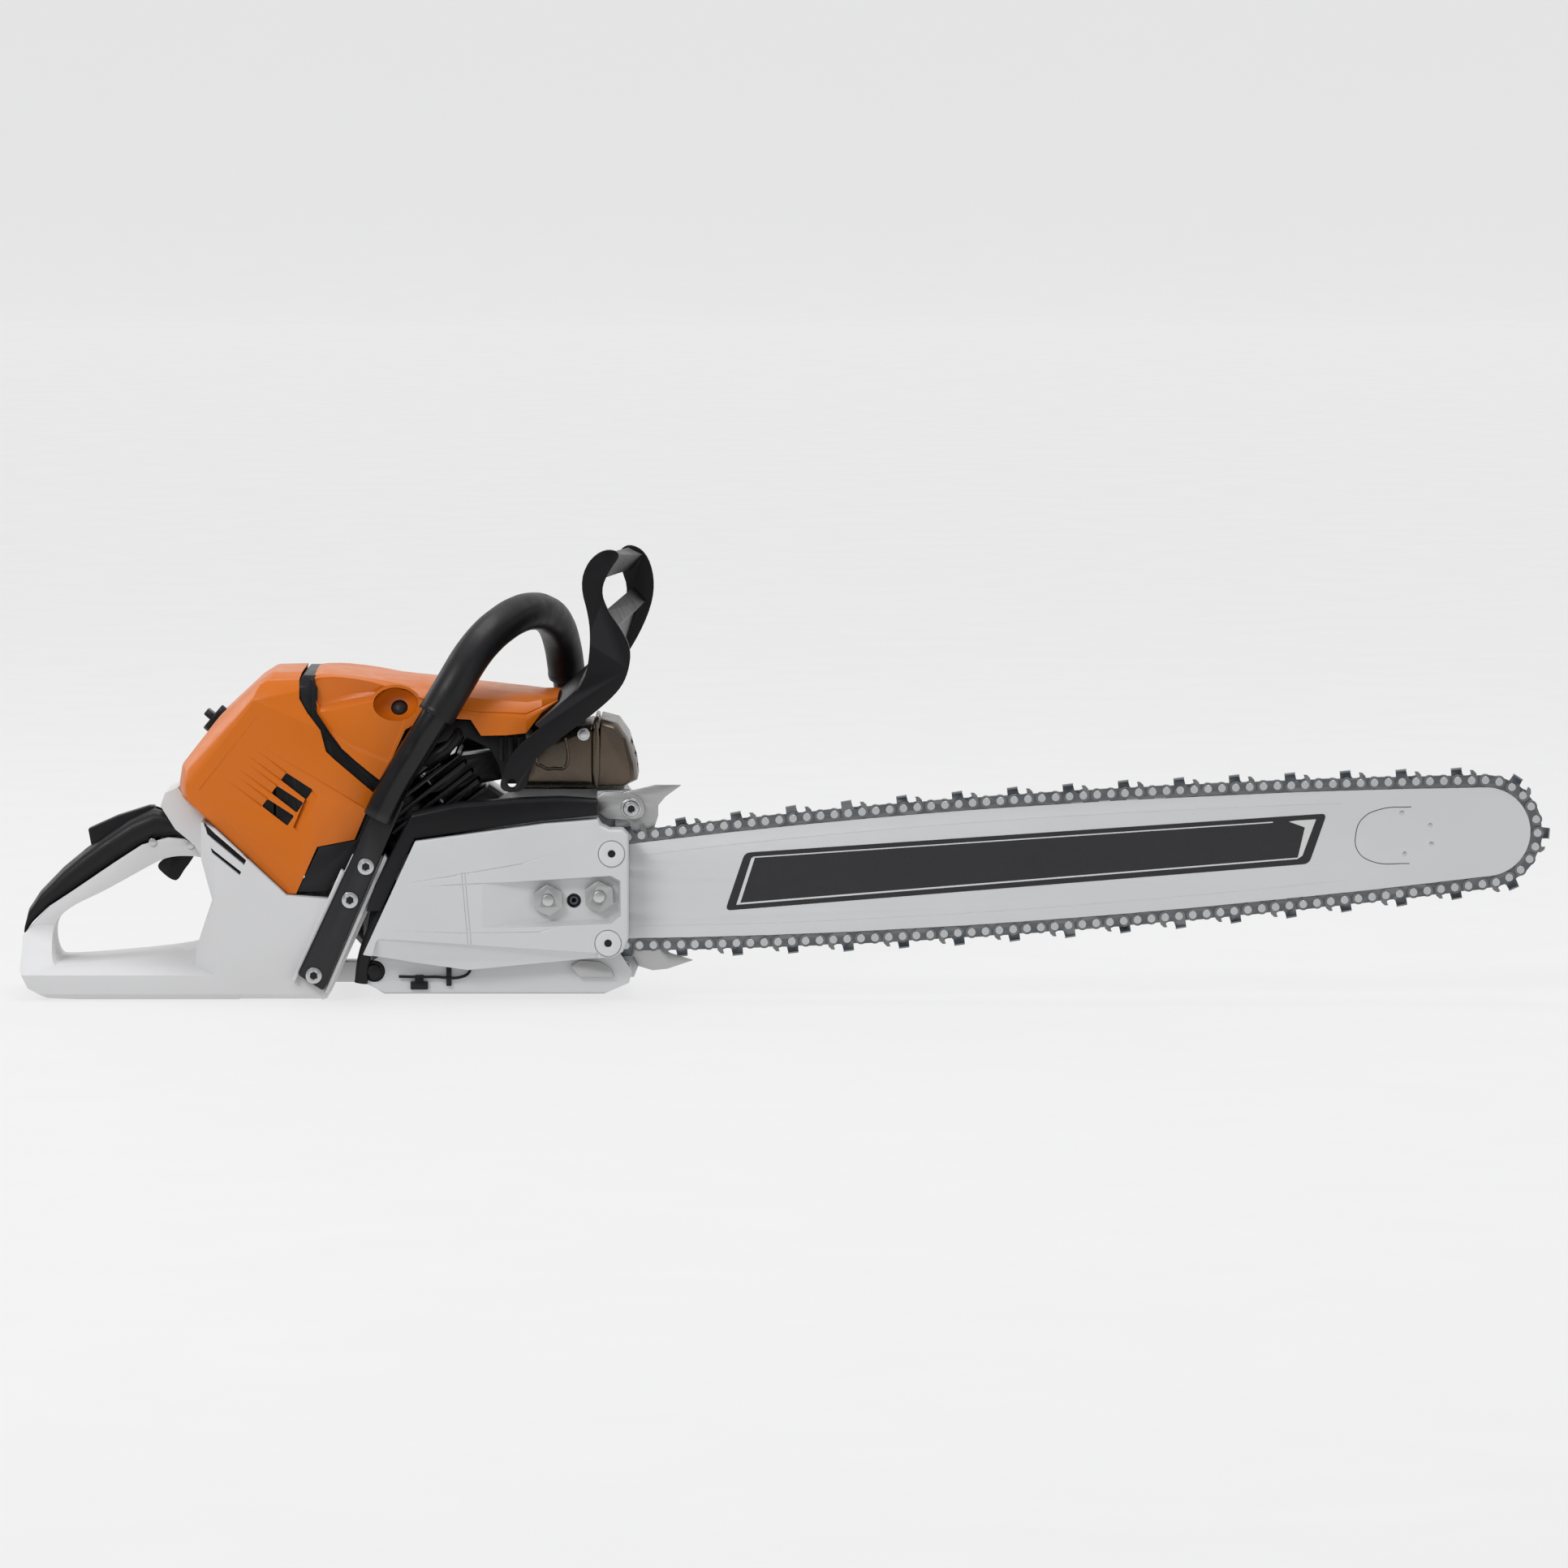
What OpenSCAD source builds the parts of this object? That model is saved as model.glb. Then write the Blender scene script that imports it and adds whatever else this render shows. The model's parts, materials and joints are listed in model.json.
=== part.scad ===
// Petrol chainsaw: rear-handle power head with a long guide bar.
// +X runs forward along the bar, +Y to the operator's left, +Z up.
// The origin lies on the base plane, straight below the crankshaft, on the engine's centre plane.

/* [Power head] */
// Height of the crankshaft above the base
crank_z = 66; // [62:1:70]
// Backward lean of the cylinder, in degrees
cylinder_lean = 38; // [34:1:40]
// Half width of the orange covers
cover_half = 64; // [60:1:66]
// Wall of the moulded covers
wall = 3; // [2:0.5:4]
// Side face of the rear housing, to the right of the centre plane
housing_right = -72; // [-74:1:-70]
// Outer face of the sprocket cover
sprocket_cover_y = -90; // [-94:1:-88]

/* [Guide bar] */
// Side offset of the bar plane from the centre plane
bar_y = -62; // [-63:0.5:-61]
// Upward tilt of the bar
bar_tilt = 4; // [3:0.5:5]
// Thickness of the bar
bar_t = 4.6; // [4.2:0.1:4.8]
// Crankshaft to the centre of the nose arc
nose_u = 708; // [700:1:712]
// Crankshaft to the widest place
belly_u = 375; // [350:5:400]
// Half height at the widest place
belly_h = 39.6; // [38:0.2:41]
// Radius of the edges from the widest place to the nose
front_edge_r = 6200; // [6000:50:6400]
// Radius of the edges from the widest place to the tail
rear_edge_r = 4600; // [4400:50:4800]
// Crankshaft to the tail of the bar
tail_u = 48; // [46:1:54]
// Gauge of the groove and of the drive links
gauge = 1.6; // [1.3:0.1:1.6]

/* [Chain] */
// Drive links in the loop
drive_link_count = 84; // [84:4:84]
// Rivet line above the bar's edge
rivet_h = 4.9; // [4.8:0.1:5]
// Radius of the rivet line round the drive sprocket
drive_r = 22; // [21.5:0.1:22.5]
// Teeth on the nose sprocket
nose_teeth = 11; // [10:1:12]

/* [Handles] */
// Diameter of the handle tube
tube_d = 21; // [20:0.5:23]
// Diameter of the sleeve on the tube
sleeve_d = 27; // [26:0.5:28]
// Width of the rear grip
grip_w = 37; // [34:1:40]

/* [Hidden] */
$fn = 48;

orange = "#d2740f";
light_grey = "#dcdcda";
black = "#222226";
steel = "#8d8f92";
dark_steel = "#3d434b";
aluminium = "#b9bbbd";

// ---------------------------------------------------------------- helpers

// Extrudes an outline drawn in the side view (x forward, z up) from y0 to y1.
module side(y0, y1) translate([0, y1, 0]) rotate([90, 0, 0]) linear_extrude(y1 - y0) children();

// A cylinder along Y from y0 to y1, with its axis at (x, z).
module pin(x, z, r, y0, y1) translate([x, y1, z]) rotate([90, 0, 0]) cylinder(r = r, h = y1 - y0);

// The plane of the bar: u forward along the bar, v up, with the crankshaft at the origin.
module bar_frame() translate([0, bar_y, crank_z]) rotate([0, -bar_tilt, 0]) children();

// Extrudes an outline drawn in the bar's plane from w0 to w1, measured to the left of the plane.
module in_bar(w0, w1) bar_frame() side(w0, w1) children();

// Cuts the corners of an outline n times, which rounds it.
function cut_corners(p) = [for (i = [0:len(p) - 1], t = [0.25, 0.75]) (1 - t) * p[i] + t * p[(i + 1) % len(p)]];
function rounded(p, n = 2) = n == 0 ? p : rounded(cut_corners(p), n - 1);

// A tube swept along points, with its own end faces square to the first and last stretch.
function unit(v) = v / norm(v);
function tangent(p, i) = unit(p[min(i + 1, len(p) - 1)] - p[max(i - 1, 0)]);
function ring_point(p, i, r, a, up) =
    let (t = tangent(p, i), s = unit(cross(t, up)), w = cross(s, t))
    p[i] + r * (cos(a) * s + sin(a) * w);
module sweep(points, r, sides = 20, up = [0.3, 0.9, 0.3]) {
    n = len(points);
    verts = [for (i = [0:n - 1], k = [0:sides - 1]) ring_point(points, i, r, 360 * k / sides, up)];
    faces = concat(
        [[for (k = [sides - 1:-1:0]) k]],
        [for (i = [0:n - 2], k = [0:sides - 1])
            [i * sides + k, i * sides + (k + 1) % sides, (i + 1) * sides + (k + 1) % sides,
             (i + 1) * sides + k]],
        [[for (k = [0:sides - 1]) (n - 1) * sides + k]]);
    polyhedron(verts, faces);
}

// ---------------------------------------------------------------- bar outline and chain path

// The bar's edge is a rear arc, a front arc that meets it at the widest place, and a nose arc.
// off moves the whole outline outwards, or inwards where it is negative.
function nose_r(off) = let (h = belly_h + off, r = front_edge_r + off)
    r - sqrt(pow(nose_u - belly_u, 2) + pow(r - h, 2));
function rear_v(u, off) = let (r = rear_edge_r + off) belly_h - rear_edge_r + sqrt(r * r - pow(u - belly_u, 2));
function front_v(u, off) = let (r = front_edge_r + off) belly_h - front_edge_r + sqrt(r * r - pow(u - belly_u, 2));
function nose_start(off) = asin((nose_u - belly_u) / (front_edge_r + off - nose_r(off)));

// The upper half of the outline from tail to tip. tail_in pulls the tail in.
function upper_edge(off, tail_in) = concat(
    [for (u = [tail_u + tail_in:(belly_u - tail_u - tail_in) / 12:belly_u - 1]) [u, rear_v(u, off)]],
    [for (k = [0:12]) let (u = belly_u + (nose_u - belly_u) * k / 12) [u, front_v(u, off)]],
    [for (a = [90 - nose_start(off):-6:1]) [nose_u + nose_r(off) * cos(a), nose_r(off) * sin(a)]]);
module bar_outline(off, tail_in = 0) {
    top = upper_edge(off, tail_in);
    polygon(concat(top, [[nose_u + nose_r(off), 0]],
        [for (i = [len(top) - 1:-1:0]) [top[i][0], -top[i][1]]]));
}

// Path of the rivets: round the drive sprocket, straight to the bar's tail, along the bar's edge
// and round the nose. The lower half mirrors the upper one.
entry_u = tail_u + 12;
entry = [entry_u, rear_v(entry_u, rivet_h)];
entry_angle = atan2(entry[1], entry[0]) + acos(drive_r / norm(entry));
rear_r = rear_edge_r + rivet_h;
front_r = front_edge_r + rivet_h;
tip_r = nose_r(rivet_h);
tip_start = nose_start(rivet_h);
arc_len = PI / 180;
path_1 = drive_r * (180 - entry_angle) * arc_len;
path_2 = path_1 + sqrt(pow(norm(entry), 2) - drive_r * drive_r);
entry_lean = asin((belly_u - entry_u) / rear_r);
path_3 = path_2 + rear_r * entry_lean * arc_len;
path_4 = path_3 + front_r * tip_start * arc_len;
path_half = path_4 + tip_r * (90 - tip_start) * arc_len;
rivet_step = path_half / drive_link_count;

function upper_path(s) =
    s < path_1 ? let (a = 180 - s / drive_r / arc_len) drive_r * [cos(a), sin(a)]
    : s < path_2 ? let (t = (s - path_1) / (path_2 - path_1))
        (1 - t) * drive_r * [cos(entry_angle), sin(entry_angle)] + t * entry
    : s < path_3 ? let (a = entry_lean - (s - path_2) / rear_r / arc_len)
        [belly_u - rear_r * sin(a), belly_h - rear_edge_r + rear_r * cos(a)]
    : s < path_4 ? let (a = (s - path_3) / front_r / arc_len)
        [belly_u + front_r * sin(a), belly_h - front_edge_r + front_r * cos(a)]
    : let (a = 90 - tip_start - (s - path_4) / tip_r / arc_len) [nose_u + tip_r * cos(a), tip_r * sin(a)];
function path_point(s) = s <= path_half ? upper_path(s)
    : let (p = upper_path(2 * path_half - s)) [p[0], -p[1]];
function rivet(i) = path_point(rivet_step * ((i + 0.35) % (2 * drive_link_count)));

// Places a link drawn about the middle of rivets i and i + 1, with u forward along the chain.
module on_chain(i) {
    a = rivet(i);
    b = rivet(i + 1);
    bar_frame() translate([(a[0] + b[0]) / 2, 0, (a[1] + b[1]) / 2])
        rotate([0, -atan2(b[1] - a[1], b[0] - a[0]), 0]) children();
}

// ---------------------------------------------------------------- chain

half_step = rivet_step / 2;
rivet_r = 1.5;
hole_r = 1.65;
strap_t = 1.3;
strap_y = gauge / 2 + 0.06;
strap_half_h = 4.6;

module rivet_holes() for (s = [-1, 1]) translate([s * half_step, 0]) circle(hole_r, $fn = 16);

module strap_outline() difference() {
    union() {
        for (s = [-1, 1]) translate([s * half_step, 0]) circle(4.2, $fn = 24);
        translate([-half_step, -strap_half_h]) square([2 * half_step, 8.2]);
    }
    rivet_holes();
}

// Side plate of a cutter: tooth behind, round gullet, depth gauge in front.
module cutter_outline() difference() {
    union() {
        for (s = [-1, 1]) translate([s * half_step, 0]) circle(4.2, $fn = 24);
        translate([-half_step, -strap_half_h]) square([2 * half_step, 8.6]);
        polygon([[-8.9, 1], [-9.1, 7.4], [-2, 8], [-1.2, 4], [-1.2, 1]]);
        polygon([[3.4, 2], [4.4, 5.2], [3.9, 7], [6.2, 6.9], [8.3, 4.6], [8.9, 1]]);
    }
    translate([1.9, 4.4]) circle(2.6, $fn = 24);
    rivet_holes();
}

module cutter(right) side(right ? -strap_y - strap_t : strap_y, right ? -strap_y : strap_y + strap_t)
    cutter_outline();

// The top plate leans out over the bar's groove from the side plate.
module top_plate(right) {
    y0 = right ? -strap_y - strap_t - 0.9 : -0.9;
    side(y0, y0 + 5) polygon([[-9.1, 7], [-9.1, 8.1], [-1.8, 8.7], [-2, 7.6]]);
}

module chain_drive_links() color(dark_steel)
    for (k = [0:drive_link_count - 1]) on_chain(2 * k + 1) side(-gauge / 2 + 0.06, gauge / 2 - 0.06)
        difference() {
            union() {
                for (s = [-1, 1]) translate([s * half_step, 0]) circle(3.6, $fn = 24);
                polygon([[-half_step, 3.4], [half_step, 3.4], [6.6, -3.8], [1.8, -10.6], [-1, -10.9],
                    [-3.6, -8.6], [-6, -3.8]]);
            }
            rivet_holes();
        }

module chain_tie_straps() color(steel) for (k = [0:drive_link_count - 1]) on_chain(2 * k) {
    if (k % 4 != 0) side(-strap_y - strap_t, -strap_y) strap_outline();
    if (k % 4 != 2) side(strap_y, strap_y + strap_t) strap_outline();
}

module chain_right_cutters() color(dark_steel)
    for (k = [0:4:drive_link_count - 1]) on_chain(2 * k) {
        cutter(true);
        top_plate(true);
    }

module chain_left_cutters() color(dark_steel)
    for (k = [2:4:drive_link_count - 1]) on_chain(2 * k) {
        cutter(false);
        top_plate(false);
    }

rivet_head_y = strap_y + strap_t + 0.05;
module chain_rivets() color(aluminium) for (i = [0:2 * drive_link_count - 1]) on_chain(i)
    translate([-half_step, 0, 0]) rotate([90, 0, 0]) {
        cylinder(r = rivet_r, h = 2 * rivet_head_y, center = true, $fn = 16);
        for (s = [-1, 1]) translate([0, 0, s * (rivet_head_y + 0.3)])
            cylinder(r = 2.7, h = 0.6, center = true, $fn = 16);
    }

// ---------------------------------------------------------------- guide bar

groove = 8;
stud_u = [63, 98];
stud_r = 4;

module guide_bar() color(light_grey) difference() {
    in_bar(-bar_t / 2, bar_t / 2) bar_outline(0);
    in_bar(-gauge / 2, gauge / 2) difference() {
        bar_outline(2);
        bar_outline(-groove, 0);
    }
    bar_frame() pin(nose_u, 0, 26, -gauge / 2, gauge / 2);
    bar_frame() translate([(stud_u[0] + stud_u[1]) / 2, 0, 0])
        cube([stud_u[1] - stud_u[0] + 8, bar_t + 2, 2 * stud_r + 0.6], center = true);
    for (v = [-16, 16]) bar_frame() pin(stud_u[0] + 14, v, 3.6, -bar_t, bar_t);
    // Tail corners, clear of the chain on its way to the drive sprocket.
    for (s = [-1, 1]) in_bar(-bar_t, bar_t) polygon([for (p = [[40, 36], [64, 36], [64, 29], [40, 24.6]]) [p[0], s * p[1]]]);
}

module nose_sprocket() color(steel) in_bar(-gauge / 2 + 0.1, gauge / 2 - 0.1) difference() {
    union() {
        circle_r = 19.5;
        translate([nose_u, 0]) circle(circle_r);
        for (k = [0:nose_teeth - 1]) translate([nose_u, 0]) rotate(360 * k / nose_teeth)
            polygon([[circle_r - 2, -3], [23.6, -1.2], [23.6, 1.2], [circle_r - 2, 3]]);
    }
    translate([nose_u, 0]) circle(5);
}

// ---------------------------------------------------------------- drive

module drive_sprocket() color(steel) {
    drum_r = 38;
    difference() {
        union() {
            // Drum, open towards the engine, with a hub that carries the rim sprocket.
            pin(0, crank_z, drum_r, bar_y + 6, bar_y + 28);
            pin(0, crank_z, 10.2, bar_y - 4.2, bar_y + 6);
            for (y = [-4.2, 1.1]) pin(0, crank_z, 16.4, bar_y + y, bar_y + y + 3.1);
        }
        pin(0, crank_z, drum_r - 2.2, bar_y + 8.5, bar_y + 29);
        pin(0, crank_z, 7.1, bar_y - 5, bar_y + 9);
    }
}

module clutch_hub() color(dark_steel) difference() {
    union() {
        pin(0, crank_z, 16, bar_y + 10, bar_y + 27);
        for (k = [0:2]) translate([0, bar_y + 18, crank_z]) rotate([0, 120 * k, 0])
            rotate([90, 0, 0]) rotate_extrude(angle = 104) translate([14, -7]) square([20.5, 14]);
    }
    pin(0, crank_z, 7.05, bar_y + 9, bar_y + 28);
}

crank_throw = 18;
module crankshaft() color(steel) {
    difference() {
        union() {
            pin(0, crank_z, 7, bar_y - 8, -10);
            pin(0, crank_z, 10, -32, -8.4);
            for (y = [-19, 8.2]) pin(0, crank_z, 36, y, y + 10.8);
            pin(0, crank_z, 10, 8.4, 36);
            pin(0, crank_z, 7, 30, 60);
        }
        // Half-moon relief opposite each counterweight.
        translate([-crank_throw * sin(cylinder_lean), 0, crank_z + crank_throw * cos(cylinder_lean)])
            rotate([0, -cylinder_lean, 0]) translate([0, 0, 16]) cube([80, 60, 8], center = true);
    }
}

// Points along the cylinder's axis: w from the crankshaft, f along the fins, forward and up.
module cylinder_frame() translate([0, 0, crank_z]) rotate([0, -cylinder_lean, 0]) children();

module connecting_rod() color(aluminium) cylinder_frame() {
    translate([0, 7.6, crank_throw]) rotate([90, 0, 0]) cylinder(r = 5, h = 15.2);
    difference() {
        union() {
            for (w = [crank_throw, 78]) translate([0, 5, w]) rotate([90, 0, 0]) cylinder(r = 9.5, h = 10);
            translate([-5, -4, crank_throw + 7]) cube([10, 8, 54]);
        }
        for (w = [crank_throw, 78]) translate([0, 6, w]) rotate([90, 0, 0])
            cylinder(r = w > 70 ? 6.05 : 5.05, h = 12);
    }
}

module piston() color(aluminium) cylinder_frame() {
    difference() {
        translate([0, 0, 62]) cylinder(r = 25.9, h = 32);
        translate([0, 0, 61]) cylinder(r = 22, h = 27);
    }
    translate([0, 24, 78]) rotate([90, 0, 0]) cylinder(r = 6, h = 48);
}

fin_step = 7.5;
module cylinder_block() {
    // Fins reach forward over the exhaust; a shield face closes them at the back.
    for (k = [0:8]) translate([-30, -44, 48 + k * fin_step]) cube([92, 88, 2.6]);
}

module engine_cylinder() color(black) difference() {
    union() {
        intersection() {
            cylinder_frame() cylinder_block();
            side(-44, 44) polygon([[-112, 120], [-10, 108], [26, 120], [30, 190], [-30, 210], [-112, 210]]);
        }
        cylinder_frame() translate([0, 0, 41]) cylinder(r = 31, h = 70);
        side(-16, 16) polygon([[-20, 138], [32.4, 148], [32.4, 168], [-12, 162]]);
    }
    cylinder_frame() translate([0, 0, 30]) cylinder(r = 26, h = 74);
    plug_frame() cylinder(r = 6.95, h = 60);
    plug_frame() translate([0, 0, 21]) cylinder(r = 13, h = 60);
    plug_frame() translate([0, 0, 34]) rotate([0, -90, -20]) cylinder(r = 5.8, h = 60);
    translate([12, -11, 152]) cube([28, 22, 12]);
    valve_axis() translate([0, 0, -20]) cylinder(r = 3.3, h = 60);
    valve_axis() translate([0, 0, -4]) cylinder(r = 8.5, h = 60);
}

// The plug leans forwards and to the right out of the cylinder head.
module plug_frame() cylinder_frame() translate([12, -2, 92]) rotate([0, 90, -43]) children();
module spark_plug() color(aluminium) plug_frame() {
    translate([0, 0, 16.5]) cylinder(r = 6.9, h = 4.6);
    translate([0, 0, 21]) rotate(30) cylinder(r = 9.5, h = 6, $fn = 6);
    translate([0, 0, 26]) cylinder(r = 5, h = 10);
}

module spark_plug_boot() color(black) plug_frame() difference() {
    union() {
        translate([0, 0, 27.2]) cylinder(r = 9, h = 13);
        translate([0, 0, 40]) cylinder(r1 = 9, r2 = 6, h = 5);
        translate([0, 0, 34]) rotate([0, -90, -20]) cylinder(r = 5, h = 26);
    }
    translate([0, 0, 27]) cylinder(r = 5.05, h = 9.2);
}

valve_at = [-36, -40, 190];
module valve_axis() translate(valve_at) rotate([32, -22, 0]) children();
module decompression_valve() color(black) valve_axis() {
    cylinder(r = 7.6, h = 10);
    translate([0, 0, -14]) cylinder(r = 3, h = 14);
    for (k = [0:5]) rotate(60 * k) translate([5, 0, 10]) cylinder(r = 0.8, h = 0.6, $fn = 12);
}

// ---------------------------------------------------------------- crankcase

case_outline = [[-66, 9], [-52, 0], [100, 0], [116, 7], [121, 17], [116, 36], [121, 60], [121, 132],
    [114, 142], [44, 142], [22, 128], [-46, 104], [-66, 60]];

module case_half(y0, y1) difference() {
    side(y0, y1) polygon(case_outline);
    pin(0, crank_z, 38.5, -20, 20);
    cylinder_frame() cylinder(r = 31.2, h = 80);
    cylinder_frame() translate([0, 0, 46]) translate([-40, -50, 0]) cube([110, 100, 60]);
    pin(0, crank_z, 13, -36, 34);
}

module crankcase_right() color(aluminium) difference() {
    union() {
        case_half(-32, -0.1);
        // Pad that the bar is clamped to.
        in_bar(2.3, 32) polygon([[46, -19], [106, -21], [106, 21], [46, 19]]);
        // Skirt under the sprocket cover and lug that holds the bumper spike.
        side(-72, -32) polygon([[-64, 12], [-50, 5.4], [103, 5.4], [118, 12], [120, 20], [112, 32],
            [60, 27], [0, 24], [-52, 31], [-60, 26]]);
        side(-54, -32) polygon([[96, 118], [121, 118], [125, 127], [125, 136], [118, 142], [96, 142]]);
        side(-54, -32) polygon([[104, 30], [121, 30], [125, 24], [121, 14], [104, 14]]);
    }
    // Slot for the chain tensioner.
    bar_frame() translate([stud_u[0] + 4, 2, 11]) cube([22, 8, 12]);
    // Channel for the lower run of the chain.
    side(-69, -54.1) polygon([[24, 22], [100, 19.4], [104, 17.3], [140, 17.3], [140, 60], [24, 60]]);
    // Edge that meets the sprocket cover.
    side(-80, -64.4) polygon(cover_outline);
    // Recess round the clutch drum.
    pin(0, crank_z, 42, -70, -32);
    for (u = stud_u) bar_frame() pin(u, 0, stud_r, -5, 30);
    pin(119.5, 131, 3, -60, -36);
    pin(115, 22, 3, -60, -36);
    // Window for the clutch's oil drive.
    pin(0, crank_z, 15, -60, -31.8);
    pin(-57, 20, 7.5, -80, -60);
}

module crankcase_left() color(aluminium) difference() {
    union() {
        case_half(0, 32);
        side(32, 40) polygon([[60, 2], [104, 2], [119, 14], [119, 70], [104, 80], [60, 80]]);
    }
    // Oil tank and its filler.
    translate([66, 8, 8]) cube([42, 26, 62]);
    pin(92, 38, 15, 20, 44);
}

module main_bearings() color(steel) for (y = [-31.5, 22]) difference() {
    pin(0, crank_z, 12.95, y, y + 9.5);
    pin(0, crank_z, 10.05, y - 1, y + 11);
}

module oil_pump() color(aluminium) difference() {
    pin(0, crank_z, 14.5, -34.8, -32.1);
    pin(0, crank_z, 11, -50, -30);
}

module flywheel() color(aluminium) difference() {
    union() {
        pin(0, crank_z, 44, 46, 50);
        pin(0, crank_z, 14, 40, 58);
        for (k = [0:15]) translate([0, 50, crank_z]) rotate([0, 22.5 * k, 0])
            translate([20, 0, -1.2]) cube([23, 9, 2.4]);
    }
    pin(0, crank_z, 7.05, 38, 60.5);
}

// ---------------------------------------------------------------- exhaust

muffler_y = [-46, 40];
module muffler_shell(outline, grow) hull() {
    side(muffler_y[0], muffler_y[1]) offset(delta = -grow) polygon(outline);
    side(muffler_y[0] + grow, muffler_y[1] - grow) polygon(outline);
}

rear_shell = [[44, 144], [94, 144], [94, 186], [80, 184], [58, 175], [44, 168]];
front_shell = [[98, 144], [117, 144], [124.5, 148], [122, 166], [117, 184], [110, 191], [98, 191]];

module muffler_rear_shell() color("#6b6052") difference() {
    union() {
        muffler_shell(rear_shell, 5);
        side(muffler_y[0] - 2, muffler_y[1] + 2) polygon([[92, 144], [95.4, 144], [95.4, 191], [92, 191]]);
        translate([34, -16, 148]) cube([12, 32, 20]);
    }
    side(muffler_y[0] + 4, muffler_y[1] - 4) polygon([[48, 148], [96, 148], [96, 182], [81, 180], [60, 171], [48, 165]]);
    translate([30, -11, 152]) cube([20, 22, 12]);
}

module muffler_front_shell() color("#7a6c5a") difference() {
    union() {
        muffler_shell(front_shell, 6);
        side(muffler_y[0] - 2, muffler_y[1] + 2)
            polygon([[95.5, 144], [98.5, 144], [98.5, 191], [95.5, 191]]);
    }
    side(muffler_y[0] + 5, muffler_y[1] - 5)
        polygon([[90, 148], [114, 148], [120, 152], [113, 184], [106, 188], [90, 188]]);
    // Slotted outlet in the front face.
    for (z = [154, 162, 170]) translate([108, -30, z]) cube([24, 30, 3]);
}

module exhaust_gasket() color(dark_steel) difference() {
    translate([32.5, -16, 148]) cube([1.4, 32, 20]);
    translate([30, -11, 152]) cube([6, 22, 12]);
}

// ---------------------------------------------------------------- covers

cover_side = [[-186, 136], [-140, 205], [-93, 185], [-57, 141], [-69, 110], [-111, 73], [-116, 73]];
cover_mid = [[-190, 139], [-184, 160], [-140, 211], [-132, 217], [-106, 210], [-57, 141], [-69, 110],
    [-111, 73], [-116, 73], [-188, 136]];
cover_top = [[-192, 148], [-190, 160], [-164, 193], [-138, 218], [-128, 225], [-105, 225],
    [-104, 206], [-70, 150], [-80, 110], [-116, 76]];

module cover_hull(inset) {
    hull() {
        side(-cover_half + inset, cover_half - inset) offset(delta = -inset) polygon(cover_side);
        side(-cover_half + 9 + inset, cover_half - 9 - inset) offset(delta = -inset) polygon(cover_mid);
        side(-42 + inset, 42 - inset) offset(delta = -inset) polygon(cover_top);
    }
}

module filter_cover() color(orange) difference() {
    cover_hull(0);
    cover_hull(wall);
    // Open towards the engine and below.
    side(-80, 80) polygon([[-105, 240], [-105, 206], [-88, 180], [-57, 141], [-69, 110.5], [-95, 106],
        [-111, 73], [-116, 73], [-116, 66], [-40, 66], [-40, 240]]);
    side(-cover_half + wall, cover_half - wall)
        polygon([[-110, 240], [-110, 90], [-160, 120], [-186, 141], [-200, 120], [-116, 60], [-20, 60],
            [-20, 240]]);
    // Three vents in each side.
    for (k = [0:2]) translate([-112 - k * 6, 0, 150 - k * 9]) rotate([0, 33, 0])
        cube([22, 160, 5.6], center = true);
    pin_hole_at_knob();
}

knob_at = [-168, 0, 187];
module knob_axis() translate(knob_at) rotate([0, -50, 0]) children();
module pin_hole_at_knob() knob_axis() translate([0, 0, -30]) cylinder(r = 6, h = 60);
module cover_knob() color(black) knob_axis() {
    translate([0, 0, -10]) cylinder(r = 5.8, h = 14);
    translate([0, 0, 3.4]) cylinder(r = 10.5, h = 2);
    translate([-9, -2.4, 5]) cube([18, 4.8, 5.6]);
}

module air_filter() color("#d8d2c2") difference() {
    side(-46, 46) polygon([[-164, 132], [-152, 124], [-127, 124], [-127, 196], [-140, 196]]);
    for (k = [-5:5]) translate([-131, k * 8 - 1.5, 128]) cube([5, 3, 64]);
}

// Black bulkhead that carries the filter, with the rim that shows between the covers.
band = [[-104, 224], [-95, 224], [-97, 206], [-76, 170], [-50, 140], [-52, 132], [-66, 128], [-76, 92],
    [-94, 74], [-104, 74]];
module intake_housing() color(black) difference() {
    union() {
        hull() {
            side(-cover_half + 5, cover_half - 5) offset(delta = -4) polygon(band);
            side(-42, 42) offset(delta = -3) polygon(band);
        }
        side(-60, 60) polygon([[-124, 128], [-100, 128], [-100, 190], [-124, 190]]);
        // Side flaps that reach down to the rear housing.
        for (y = [-cover_half + 1, cover_half - 7])
            side(y, y + 6) polygon([[-110, 74], [-94.5, 105.5], [-68.6, 110],
                [-56.6, 139], [-52, 122], [-78, 88.5], [-90, 74]]);
    }
    side(-46, 46) polygon([[-121, 60], [-40, 60], [-40, 150], [-90, 212], [-101, 212], [-101, 186], [-121, 186]]);
    translate([-130, -18, 134]) cube([12, 36, 36]);
    side(-80, 80) polygon([[-110, 72], [-50, 72], [-50, 84], [-78, 87.5], [-90, 73.5]]);
    // Edge that meets the shroud.
    side(-80, 80) polygon([[-95.8, 230], [-95.8, 203], [-89.8, 184], [-75.8, 165], [-49.8, 140.1], [-40, 140.1],
        [-40, 230]]);
}

module throttle_body() color(aluminium) difference() {
    union() {
        translate([-120, -16, 92]) cube([30, 32, 32]);
        translate([-92, 0, 108]) rotate([0, 90, 0]) cylinder(r = 13, h = 30);
    }
    translate([-125, 0, 108]) rotate([0, 90, 0]) cylinder(r = 10, h = 70);
    cylinder_frame() cylinder(r = 31.1, h = 150);
}

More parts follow.
